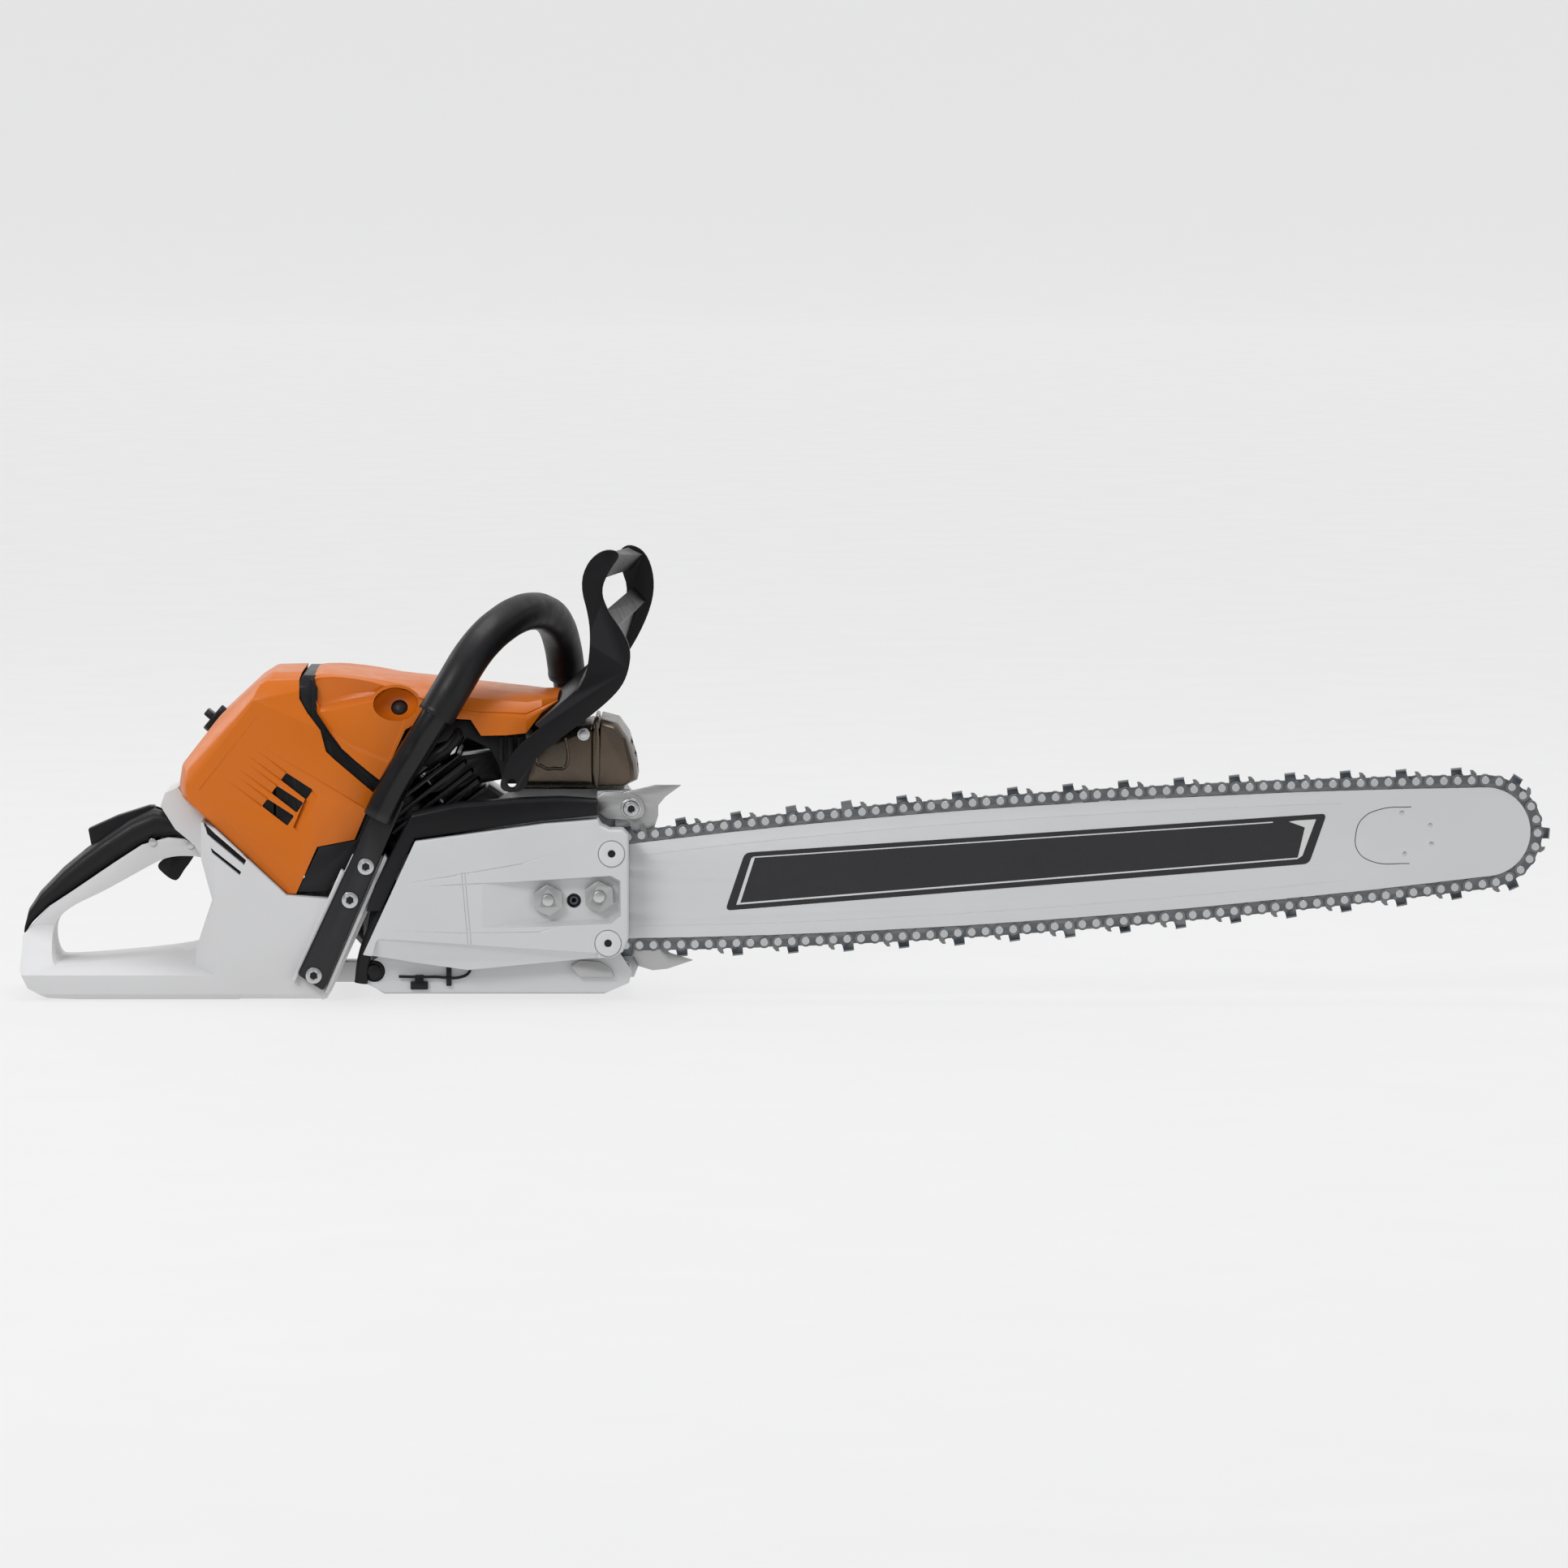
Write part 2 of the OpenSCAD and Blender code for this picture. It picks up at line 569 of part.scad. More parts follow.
shroud_side = [[-94, 190], [-78, 168], [-50, 141], [-44, 162], [-22, 192], [-2, 196], [6, 186], [16, 182],
    [44, 183], [52, 192], [30, 203], [-60, 203], [-90, 206]];
shroud_mid = [[-95, 203], [-79, 166], [-51, 142], [-22, 189], [-2, 192], [44, 183], [54, 192], [66, 204],
    [40, 211], [-40, 215], [-95, 218]];
shroud_top = [[-95, 208], [-88, 190], [10, 189], [46, 189], [69, 207], [40, 212], [-62, 219],
    [-95, 224]];

module shroud_solid(inset) {
    intersection() {
        hull() {
            side(-cover_half + inset, cover_half - inset) offset(delta = -inset) polygon(shroud_side);
            side(-cover_half + 8 + inset, cover_half - 8 - inset) offset(delta = -inset) polygon(shroud_mid);
            side(-40 + inset, 40 - inset) offset(delta = -inset) polygon(shroud_top);
        }
        side(-80, 80) polygon([[-96, 226], [-96, 203], [-90, 184], [-76, 165], [-50, 140], [-36, 168],
            [-21, 187], [-6, 194], [2, 193], [10, 182], [44, 182], [72, 207], [72, 226]]);
    }
}

module top_shroud() color(orange) difference() {
    shroud_solid(0);
    shroud_solid(wall);
    side(-cover_half + wall, cover_half - wall) polygon([[-110, 130], [50, 130], [50, 186], [60, 198],
        [20, 200], [-60, 204], [-92, 207], [-99, 215]]);
    side(-39, 39) polygon([[60, 196], [60, 170], [-94, 170], [-99, 212], [-90, 214], [-40, 208]]);
    valve_axis() translate([0, 0, -22]) cylinder(r = 10, h = 60);
    translate([60, -30, 180]) cube([20, 60, 40]);
}

// ---------------------------------------------------------------- rear housing and handle

grip_low = [[-302, 40], [-284, 59.5], [-268, 70], [-240, 89], [-220, 102], [-202, 107], [-190, 106],
    [-184, 102.5]];
grip_high = [[-197, 114], [-206, 129], [-246, 107], [-275, 85], [-292, 68], [-300, 53]];
loop_inner = [[-174, 92], [-184, 94.5], [-202, 94], [-216, 87], [-246, 70], [-270, 59], [-280, 49],
    [-282, 40], [-280, 25], [-275, 21], [-184, 30], [-172, 38], [-166, 50], [-168, 76]];

module rear_outline() difference() {
    polygon(concat([[-302, 40], [-301, 20], [-295, 8], [-282, 1], [-262, 0], [-150, 0], [-150, 70],
        [-172, 100]], [for (i = [len(grip_low) - 1:-1:1]) grip_low[i]]));
    polygon(rounded(loop_inner));
}

// Width of the handle: a narrow grip on a wide foot that guards the hand.
module rear_section() rotate([90, 0, 90]) translate([0, 0, -310]) linear_extrude(170)
    polygon([[-66, 0], [30, 0], [36, 6], [36, 14], [18, 34], [18, 160], [-18, 160], [-18, 46],
        [-36, 34], [-72, 17], [-72, 4]]);

tank_low = [[-180, 0], [-90, 0], [-86, 7], [-68, 46], [-68, 68], [-90, 69], [-116, 72], [-168, 70],
    [-180, 34]];
tank_high = [[-176, 122], [-176, 96], [-168, 66], [-116, 71]];

collar_windows = [[[-173.5, 121.5], [-171.5, 114], [-146, 93], [-144.5, 96.5]],
    [[-169, 105], [-168, 101.5], [-149, 86], [-148, 88.5]]];

module tank_housing() color(light_grey) difference() {
    union() {
        intersection() {
            side(-80, 60) rear_outline();
            rear_section();
        }
        // Tank body below the covers.
        for (part = [tank_low, tank_high]) hull() {
            side(housing_right, 58) polygon([for (p = part) [max(p[0], -166), min(max(p[1], 4), 117.5)]]);
            side(housing_right + 10, 48) polygon(part);
        }
        // Rib along the handle bracket.
        side(housing_right, -64.6) polygon([[-92, 0], [-86, 7], [-47, 92], [-56, 106], [-72, 100], [-112, 14]]);
        // Collar between grip and cover.
        side(-30, 30) polygon([[-206, 130], [-203, 139], [-194, 143], [-190, 137], [-172, 119], [-160, 100],
            [-178, 95], [-183, 103], [-196, 114]]);
        // Arm that carries the handle's left foot.
        side(42, 64) polygon([[-92, 0], [88, 0], [92, 6], [84, 14], [-92, 14]]);
    }
    // Fuel tank, reached through its filler.
    translate([-150, housing_right + 6, 6]) cube([58, 116, 50]);
    pin(-122, 34, 15, 40, 62);
    // Two windows in the collar's sides.
    for (y = [housing_right - 1, 45], p = collar_windows) side(y, y + 15) polygon(p);
    // Room for the trigger and its lock.
    side(-7, 7) polygon([[-246, 88], [-216, 82], [-186, 82], [-180, 96], [-180, 110], [-196, 110], [-206, 131], [-246, 131]]);
    for (p = screw_places) pin(p[0], p[1], 2.6, housing_right - 1, housing_right + 16);
    handle_pin_holes();
}

module rear_grip() color(black) difference() {
    side(-grip_w / 2, grip_w / 2) polygon(concat(grip_low, grip_high));
    // Slot for the trigger lock.
    side(-7, 7) polygon([[-261, 84], [-261, 125], [-200, 134], [-180, 112], [-180, 90], [-226, 90]]);
    handle_pin_holes();
}

trigger_at = [-186, 102];
lock_at = [-212.5, 104];
handle_pin_r = 1.5;
module handle_pin_holes() for (p = [trigger_at, lock_at]) pin(p[0], p[1], handle_pin_r + 0.03, -40, 40);

module throttle_trigger() color(black) difference() {
    side(-6.5, 6.5) polygon(rounded([[-211, 86], [-206, 91], [-196, 93.5], [-190, 99], [-188, 106],
        [-182, 105], [-182, 98], [-187.5, 88.5], [-192, 83], [-196, 76], [-200, 76.5], [-205, 80]]));
    handle_pin_holes();
}

module trigger_interlock() color(black) difference() {
    side(-6.5, 6.5) polygon([[-258, 112], [-256, 101], [-236, 99], [-214, 99], [-208, 102], [-208, 109],
        [-212, 128], [-216, 128], [-238, 121]]);
    handle_pin_holes();
}

module handle_pins() color(steel) for (p = [trigger_at, lock_at]) {
    pin(p[0], p[1], handle_pin_r, -19, 19);
    for (y = [-19.4, 18.6]) pin(p[0], p[1], 2.7, y, y + 0.8);
}

module stop_switch() color(black) {
    translate([-187, 30.3, 124]) rotate([-90, 0, 0]) cylinder(r = 5, h = 3);
    translate([-189, 33, 120]) cube([4, 5, 16]);
}

// ---------------------------------------------------------------- front handle

tube_path = [[-54, -78, 126], [-42, -78.3, 150], [-28, -78.8, 173], [-14, -79.2, 196],
    [-1, -76.6, 218], [10, -66, 236], [20, -52, 248], [30, -34, 256], [40, -12, 261], [49, 12, 262],
    [57, 36, 259], [64, 58, 251], [69, 77, 234], [72, 87, 212], [74, 89, 180], [76, 89, 120],
    [76, 89, 50], [75, 85, 26], [73, 77, 14], [71, 68, 11]];
module front_handle() color(black) difference() {
    union() {
        sweep(tube_path, tube_d / 2);
        // Flattened foot that is screwed to the rear housing.
        side(-80, -72.1) polygon([[-110, 18], [-91.5, 6.4], [-51, 102], [-36, 136], [-54, 140], [-60, 128]]);
    }
    for (p = screw_places) pin(p[0], p[1], 3.1, -90, -66);
    translate([40, 20, -2]) cube([60, 44.1, 30]);
    translate([40, 20, -20]) cube([60, 100, 20.4]);
}
screw_places = [[-62, 93], [-73, 70], [-98, 18]];

module handle_sleeve() color(black) difference() {
    sweep([for (i = [3:13]) tube_path[i]], sleeve_d / 2);
    sweep([for (i = [2:14]) tube_path[i]], tube_d / 2 + 0.02);
}

module screw(x, z, y, r = 5.6) {
    difference() {
        pin(x, z, r, y - 2.6, y);
        pin(x, z, 2.4, y - 3, y - 1.2);
    }
    pin(x, z, 2.5, y - 1, y + 12);
}

module handle_screws() color(aluminium) for (p = screw_places) screw(p[0], p[1], -80.05);

module vibration_mounts() color(black) {
    pin(-57, 20, 7.2, -71, -61);
    pin(-57, 20, 4.5, -76, -71);
    pin(-30, 12, 7.2, 32.1, 41.9);
    side(-64, -58) polygon(rounded([[-66, 30], [-58, 28], [-48, 60], [-42, 92], [-52, 96], [-60, 60]]));
}

// ---------------------------------------------------------------- hand guard

guard_pivot = [38, 150];
guard_near = rounded([[29, 144], [32, 158], [38, 171], [52, 184], [68, 195], [84, 210], [90, 228], [92, 247],
    [91, 264], [85, 286], [90, 302], [102, 311], [114, 308], [105, 296], [99, 282], [104, 268], [113, 256],
    [120, 242], [118, 226], [112, 214], [97, 200], [73, 182], [57, 170], [50, 160], [48, 144]]);
guard_far = rounded([[29, 144], [33, 162], [48, 186], [74, 208], [96, 226], [108, 250], [116, 272], [110, 290],
    [108, 300], [116, 306], [128, 300], [134, 282], [132, 262], [120, 236], [104, 214], [82, 192],
    [56, 170], [48, 144]]);

// A web between the arms, drawn where it meets the near and the far one.
module guard_web(near, far) hull() {
    side(-79, -76) polygon(near);
    side(67, 70) polygon(far);
}

module hand_guard() color(black) difference() {
    union() {
        side(-79, -72) polygon(guard_near);
        side(65, 70) polygon(guard_far);
        guard_web([[90, 296], [98, 306], [108, 307], [99, 290]], [[112, 296], [116, 303], [126, 298], [118, 288]]);
        guard_web([[98, 262], [102, 268], [108, 256], [104, 250]], [[116, 270], [120, 276], [128, 266], [122, 260]]);
        guard_web([[97, 262], [104, 262], [101, 230], [94, 230]], [[115, 268], [124, 268], [114, 238], [105, 238]]);
        guard_web([[93, 232], [102, 232], [92, 208], [82, 212]], [[104, 240], [114, 240], [98, 216], [88, 220]]);
        guard_web([[82, 214], [92, 208], [60, 186], [54, 190]], [[88, 222], [98, 216], [64, 190], [57, 194]]);
    }
    pin(guard_pivot[0], guard_pivot[1], 3.1, -90, 80);
}

// ---------------------------------------------------------------- sprocket cover and brake

cover_outline = [[-64, 33], [-28, 111], [60, 123], [97, 126], [99, 122], [105, 119], [114, 119], [118, 115],
    [118, 44], [114, 35], [108, 31.5], [48, 25.6], [8, 22], [-27, 27]];
recess = [[-4, 79], [106, 87], [113, 84], [113, 60], [107, 55], [-4, 54]];
recess_y = -76;

module sprocket_cover() color(light_grey) {
    difference() {
        hull() {
            side(sprocket_cover_y + 3, -64.5) polygon(cover_outline);
            side(sprocket_cover_y, -70) offset(delta = -3) polygon(cover_outline);
        }
        // Room for the chain and the bar.
        difference() {
            side(sprocket_cover_y + 3.5, -64) offset(delta = -4) polygon(cover_outline);
            side(sprocket_cover_y, recess_y) offset(delta = 3) polygon(recess);
        }
        in_bar(-5.5, 4) translate([60, -48]) square([80, 96]);
        // Recessed field for the nuts.
        side(sprocket_cover_y - 1, recess_y - 3) polygon(recess);
        for (u = stud_u) bar_frame() pin(u, 0, stud_r + 0.2, -40, 4);
        bar_frame() pin((stud_u[0] + stud_u[1]) / 2, -2, 4.4, -40, 4);
        for (z = [41, 102.5]) pin(104.5, z, 2.6, -100, -60);
    }
    // Pads that clamp the bar.
    difference() {
        in_bar(recess_y - bar_y - 0.5, -bar_t / 2 - 0.05) polygon([[50, -18], [108, -18], [108, 18], [50, 18]]);
        for (u = stud_u) bar_frame() pin(u, 0, stud_r + 0.2, -40, 4);
        bar_frame() pin((stud_u[0] + stud_u[1]) / 2, -2, 4.4, -40, 4);
    }
}

module brake_cover() color(black) difference() {
    side(-84, -66) polygon([[-56, 80], [-31, 130], [0, 137], [44, 140], [71, 141], [97, 139], [97, 127.5],
        [60, 124.5], [-29, 112.4], [-66, 34], [-70, 40], [-66, 60]]);
    side(-67, -32.1) polygon([[-26, 123], [20, 131], [92, 135], [92, 131], [20, 127], [-24, 119]]);
    side(-85, -83) polygon([[-54, 82], [-50, 78], [-28, 116], [60, 128], [60, 131], [-30, 121]]);
    // Clearance to the rib of the rear housing.
    side(-72.3, -60) polygon([[-120, 0], [-84, 0], [-45.5, 91], [-47, 98], [-55, 109], [-75, 104], [-120, 60]]);
}

module brake_band() color(steel) difference() {
    pin(0, crank_z, 39.8, bar_y + 10, bar_y + 26);
    pin(0, crank_z, 38.6, bar_y + 9, bar_y + 27);
    translate([20, bar_y + 5, crank_z + 20]) cube([30, 30, 30]);
}

module bar_studs() color(steel) for (u = stud_u) bar_frame() pin(u, 0, stud_r - 0.02, -27, 29);

module bar_nuts() color(aluminium) for (u = stud_u) bar_frame() {
    difference() {
        union() {
            pin(u, 0, 12, recess_y - bar_y - 4.6, recess_y - bar_y - 3.05);
            translate([u, recess_y - bar_y - 4.5, 0]) rotate([90, 30, 0]) cylinder(r = 11, h = 6, $fn = 6);
        }
        pin(u, 0, stud_r + 0.02, -36, -10);
    }
}

module chain_tensioner() color(steel) bar_frame() {
    pin(stud_u[0] + 14, 16, 3.4, -2.3, 2.6);
    translate([stud_u[0] + 8, 2.5, 13]) cube([12, 5.6, 6]);
}

module spike_bracket() color(aluminium) difference() {
    side(-61, -57.7) polygon(rounded([[95, 143], [118, 142], [128, 137], [129, 126], [121, 123], [96, 124]], 1));
    pin(119.5, 131, 3.1, -64, -50);
}

module bumper_spike() color(aluminium) difference() {
    side(-57.6, -54.2) polygon([[108, 30], [121, 28], [124, 22], [134, 19], [144, 20], [162, 26], [146, 31],
        [138, 38], [132, 52], [148, 60], [132, 68], [132, 82], [148, 92], [133, 98], [133, 110],
        [138, 126], [138, 133], [143, 139], [154, 147], [136, 147], [124, 144], [108, 141]]);
    pin(119.5, 131, 3.1, -60, -50);
    pin(115, 22, 3.1, -60, -50);
}

module case_screws() color(aluminium) {
    screw(119.5, 131, -61.05, 5.2);
    screw(115, 22, -57.7, 4.2);
    for (p = starter_screws) translate([p[0], 90.05, p[1]]) rotate([0, 0, 180]) screw(0, 0, 0, 4.4);
}

module chain_catcher() color(aluminium)
    side(-76, -72.1) polygon([[78, 24], [84, 16], [108, 16], [106, 22], [98, 27], [84, 28]]);

// ---------------------------------------------------------------- starter side

pulley_r = 26;
pulley_y = 74;
rope_x = pulley_r + 2;
starter_outline = rounded([[-86, 40], [-66, 18], [-20, 15], [44, 15], [59, 34], [59, 112], [24, 134],
    [8, 146], [-66, 146], [-88, 126], [-88, 60]], 1);
starter_screws = [[-62, 122], [-66, 44], [38, 38], [30, 106]];

module starter_cover() color(light_grey) difference() {
    hull() {
        side(44, 84) polygon(starter_outline);
        side(44, 90) offset(delta = -10) polygon(starter_outline);
    }
    hull() {
        side(43, 80) offset(delta = -3) polygon(starter_outline);
        side(43, 87) offset(delta = -12) polygon(starter_outline);
    }
    // Air slots that fan out round the dome.
    for (a = [0:20:340]) translate([0, 82, crank_z]) rotate([0, a, 0]) translate([20, 0, -2.4])
        cube([17, 12, 4.8]);
    translate([-rope_x, pulley_y, 140]) cylinder(r = 4.2, h = 20);
    for (p = starter_screws) pin(p[0], p[1], 2.6, 80, 92);
    // Clearance to the covers and the tank.
    side(40, 64.6) polygon([[-95, 60], [-52, 60], [-44, 150], [-95, 150]]);
    side(40, 58.6) polygon([[-95, 10], [-64, 10], [-64, 75], [-95, 75]]);
}

module rope_pulley() color(black) difference() {
    union() {
        pin(0, crank_z, pulley_r, pulley_y - 3, pulley_y + 3);
        for (y = [-4.5, 3]) pin(0, crank_z, pulley_r + 5, pulley_y + y, pulley_y + y + 1.5);
    }
    pin(0, crank_z, 6.05, 60, 90);
}

module rewind_spring() color(steel) difference() {
    pin(0, crank_z, 20, 80, 85);
    pin(0, crank_z, 8, 79, 86);
}

grip_z = 148;
module starter_rope() color("#d9d6cc")
    translate([-rope_x, pulley_y, crank_z]) cylinder(r = 1.75, h = grip_z - crank_z);

module starter_grip() color(black) {
    translate([-rope_x, pulley_y, 0]) {
        translate([0, 0, grip_z]) cylinder(r1 = 4, r2 = 8, h = 9, $fn = 48);
        translate([-38, 0, grip_z + 16]) rotate([0, 90, 0]) cylinder(r = 8.5, h = 76);
        for (x = [-38, 38]) translate([x, 0, grip_z + 16]) sphere(8.5);
    }
}

module cap(x, z, y, r) difference() {
    union() {
        pin(x, z, r, y, y + 6);
        pin(x, z, 14.8, y - 8, y);
    }
    side(y + 2.6, y + 7) translate([x, z]) square([2 * r - 4, 9], center = true);
}
module cap_lever(x, z, y, r) {
    side(y + 3.9, y + 6.1) translate([x, z]) square([2 * r - 7, 8], center = true);
    translate([x - r + 5.1, y + 5, z - 4]) cylinder(r = 1.3, h = 8);
}

fuel_at = [-122, 34, 58.1];
oil_at = [92, 38, 40.1];
module fuel_cap() color(black) cap(fuel_at[0], fuel_at[1], fuel_at[2], 21);
module fuel_cap_lever() color("#3a3a3e") cap_lever(fuel_at[0], fuel_at[1], fuel_at[2], 21);
module oil_cap() color(black) cap(oil_at[0], oil_at[1], oil_at[2], 19);
module oil_cap_lever() color("#3a3a3e") cap_lever(oil_at[0], oil_at[1], oil_at[2], 19);

// ---------------------------------------------------------------- nodes

tank_housing();
rear_grip();
throttle_trigger();
trigger_interlock();
handle_pins();
stop_switch();
filter_cover();
cover_knob();
air_filter();
intake_housing();
throttle_body();
top_shroud();
decompression_valve();
engine_cylinder();
spark_plug();
spark_plug_boot();
piston();
connecting_rod();
crankcase_right();
crankcase_left();
main_bearings();
crankshaft();
flywheel();
clutch_hub();
drive_sprocket();
oil_pump();
muffler_rear_shell();
muffler_front_shell();
exhaust_gasket();
starter_cover();
rope_pulley();
rewind_spring();
starter_rope();
starter_grip();
fuel_cap();
fuel_cap_lever();
oil_cap();
oil_cap_lever();
sprocket_cover();
brake_cover();
brake_band();
hand_guard();
front_handle();
handle_sleeve();
handle_screws();
vibration_mounts();
spike_bracket();
bumper_spike();
case_screws();
chain_catcher();
bar_studs();
bar_nuts();
chain_tensioner();
guide_bar();
nose_sprocket();
chain_drive_links();
chain_tie_straps();
chain_right_cutters();
chain_left_cutters();
chain_rivets();
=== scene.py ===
"""Looks of the chainsaw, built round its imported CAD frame."""

import json
import math

import bmesh
import bpy
from mathutils import Matrix, Vector


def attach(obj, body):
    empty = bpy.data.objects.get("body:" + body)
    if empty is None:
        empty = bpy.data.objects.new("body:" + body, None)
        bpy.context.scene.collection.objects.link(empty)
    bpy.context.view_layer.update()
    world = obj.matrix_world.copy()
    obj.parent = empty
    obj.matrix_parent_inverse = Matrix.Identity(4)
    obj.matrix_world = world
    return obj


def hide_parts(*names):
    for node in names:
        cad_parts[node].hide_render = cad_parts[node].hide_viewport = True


MM = 0.001
# The bar's tilt in degrees, and in millimetres the crankshaft's height and the bar plane's place across.
BAR_TILT = 4
CRANK_HEIGHT = 66
BAR_PLANE = -62

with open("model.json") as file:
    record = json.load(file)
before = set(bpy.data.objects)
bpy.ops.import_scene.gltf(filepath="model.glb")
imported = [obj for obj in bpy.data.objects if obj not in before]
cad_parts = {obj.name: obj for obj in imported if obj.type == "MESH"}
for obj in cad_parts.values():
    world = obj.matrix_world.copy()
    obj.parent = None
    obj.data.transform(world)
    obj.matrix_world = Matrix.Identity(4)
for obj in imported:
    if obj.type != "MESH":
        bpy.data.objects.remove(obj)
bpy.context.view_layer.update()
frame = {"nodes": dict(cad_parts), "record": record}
NODES = frame["nodes"]
BODY = {n: b for b, group in frame["record"]["behaviour"]["bodies"].items() for n in group}
SLOT = {s["node"]: s["material_slot"] for s in frame["record"]["subparts"]}


# ---------------------------------------------------------------- materials


def principled(name, **values):
    """A material with a Principled BSDF, and its node tree's helpers."""
    made = bpy.data.materials.new(name)
    made.use_nodes = True
    shader = made.node_tree.nodes["Principled BSDF"]
    for key, value in values.items():
        shader.inputs[key].default_value = value
    return made, made.node_tree, shader


def node(tree, kind, inputs=None, **settings):
    made = tree.nodes.new(kind)
    for key, value in settings.items():
        setattr(made, key, value)
    for key, value in (inputs or {}).items():
        if hasattr(value, "is_output"):
            tree.links.new(value, made.inputs[key])
        else:
            made.inputs[key].default_value = value
    return made


def noise(tree, scale, detail=4.0, stretch=(1, 1, 1)):
    place = node(tree, "ShaderNodeTexCoord").outputs["Object"]
    mapping = node(tree, "ShaderNodeMapping", {"Vector": place, "Scale": stretch})
    made = node(tree, "ShaderNodeTexNoise", {"Vector": mapping.outputs[0], "Scale": scale, "Detail": detail})
    return made.outputs["Fac"]


def ramp(tree, fac, low, high, start=0.3, end=0.7):
    made = node(tree, "ShaderNodeValToRGB", {"Fac": fac})
    for element, place, color in zip(made.color_ramp.elements, (start, end), (low, high)):
        element.position = place
        element.color = (*color, 1)
    return made.outputs["Color"]


def spread(tree, fac, low, high):
    """A noise's usual values spread over low to high."""
    made = node(tree, "ShaderNodeMapRange", {"Value": fac, "From Min": 0.3, "From Max": 0.7,
                                             "To Min": low, "To Max": high})
    return made.outputs[0]


def link_relief(tree, shader, height, strength):
    """Bumps the shader's surface by a height of up to a millimetre times the strength."""
    relief = node(tree, "ShaderNodeBump", {"Height": height, "Strength": strength, "Distance": 0.001})
    tree.links.new(relief.outputs[0], shader.inputs["Normal"])


def finish_of(name, color, rough, metal=0.0, grain=900, bump=0.04, vary=0.06, stretch=(1, 1, 1),
              coat=0.0, patch=18, rough_vary=0.06, edge_tone=None, specular=0.5):
    """Colour that varies in broad patches, roughness in finer ones, a fine grain, and, where an edge colour
    is given, that lighter colour on sharp convex edges.
    """
    made, tree, shader = principled(name, **{"Metallic": metal, "Coat Weight": coat, "Coat Roughness": 0.18,
                                            "Specular IOR Level": specular})
    dark = tuple(c * (1 - vary) for c in color)
    light = tuple(min(1, c * (1 + vary)) for c in color)
    tone = ramp(tree, noise(tree, patch, 5), dark, light)
    # Sharp convex edges, found by pointiness, take the given lighter edge colour.
    if edge_tone:
        edge = node(tree, "ShaderNodeNewGeometry").outputs["Pointiness"]
        edge_mask = node(tree, "ShaderNodeMapRange", {"Value": edge, "From Min": 0.515, "From Max": 0.56})
        edge_mix = node(tree, "ShaderNodeMix", {"Factor": edge_mask.outputs[0], "A": tone, "B": (*edge_tone, 1)},
                    data_type="RGBA")
        tone = edge_mix.outputs["Result"]
    tree.links.new(tone, shader.inputs["Base Color"])
    smear = noise(tree, patch * 6, 6, stretch)
    smoothest = max(0.03, rough - rough_vary)
    tree.links.new(spread(tree, smear, smoothest, rough + rough_vary), shader.inputs["Roughness"])
    link_relief(tree, shader, noise(tree, grain, 3, stretch), bump)
    return made


LOOKS = {
    "orange_plastic": finish_of("orange_plastic", (0.60, 0.140, 0.004), 0.34, grain=1400, bump=0.02,
                                vary=0.03, coat=0.05, specular=0.32),
    "light_plastic": finish_of("light_plastic", (0.62, 0.62, 0.625), 0.45, grain=1100, bump=0.04, vary=0.02),
    "light_casting": finish_of("light_casting", (0.60, 0.605, 0.61), 0.42, metal=0.1, grain=900, bump=0.05,
                               vary=0.02),
    "black_plastic": finish_of("black_plastic", (0.0032, 0.0032, 0.0042), 0.36, grain=1300, bump=0.04,
                               vary=0.15, specular=0.22, edge_tone=(0.014, 0.014, 0.016)),
    "grey_plastic": finish_of("grey_plastic", (0.045, 0.045, 0.05), 0.42, grain=1300, bump=0.05, vary=0.1),
    "rubber": finish_of("rubber", (0.005, 0.005, 0.006), 0.42, grain=1000, bump=0.08, vary=0.12,
                        specular=0.3),
    "knurled_rubber": finish_of("knurled_rubber", (0.008, 0.008, 0.009), 0.5, grain=520, bump=0.9, vary=0.3),
    "black_metal": finish_of("black_metal", (0.0035, 0.0035, 0.0045), 0.24, grain=800, bump=0.02, vary=0.12,
                             specular=0.35, edge_tone=(0.02, 0.02, 0.022)),
    "bright_steel": finish_of("bright_steel", (0.58, 0.585, 0.59), 0.30, metal=1.0, grain=900, bump=0.015,
                              vary=0.04),
    "satin_steel": finish_of("satin_steel", (0.46, 0.46, 0.46), 0.36, metal=0.9, grain=900, bump=0.02,
                             vary=0.05, stretch=(1, 1, 5)),
    "dark_steel": finish_of("dark_steel", (0.055, 0.068, 0.082), 0.34, metal=0.85, grain=900, bump=0.03,
                            vary=0.18, edge_tone=(0.22, 0.225, 0.23)),
    "bare_aluminium": finish_of("bare_aluminium", (0.52, 0.53, 0.54), 0.38, metal=0.9, grain=900, bump=0.03,
                                vary=0.05),
    "bar_paint": finish_of("bar_paint", (0.62, 0.625, 0.63), 0.38, metal=0.15, grain=700, bump=0.015,
                           vary=0.015, stretch=(1, 6, 12)),
    "filter_felt": finish_of("filter_felt", (0.60, 0.56, 0.45), 0.85, grain=2400, bump=0.5, vary=0.1),
    "rope_fibre": finish_of("rope_fibre", (0.62, 0.60, 0.54), 0.8, grain=1800, bump=0.5, vary=0.12),
}


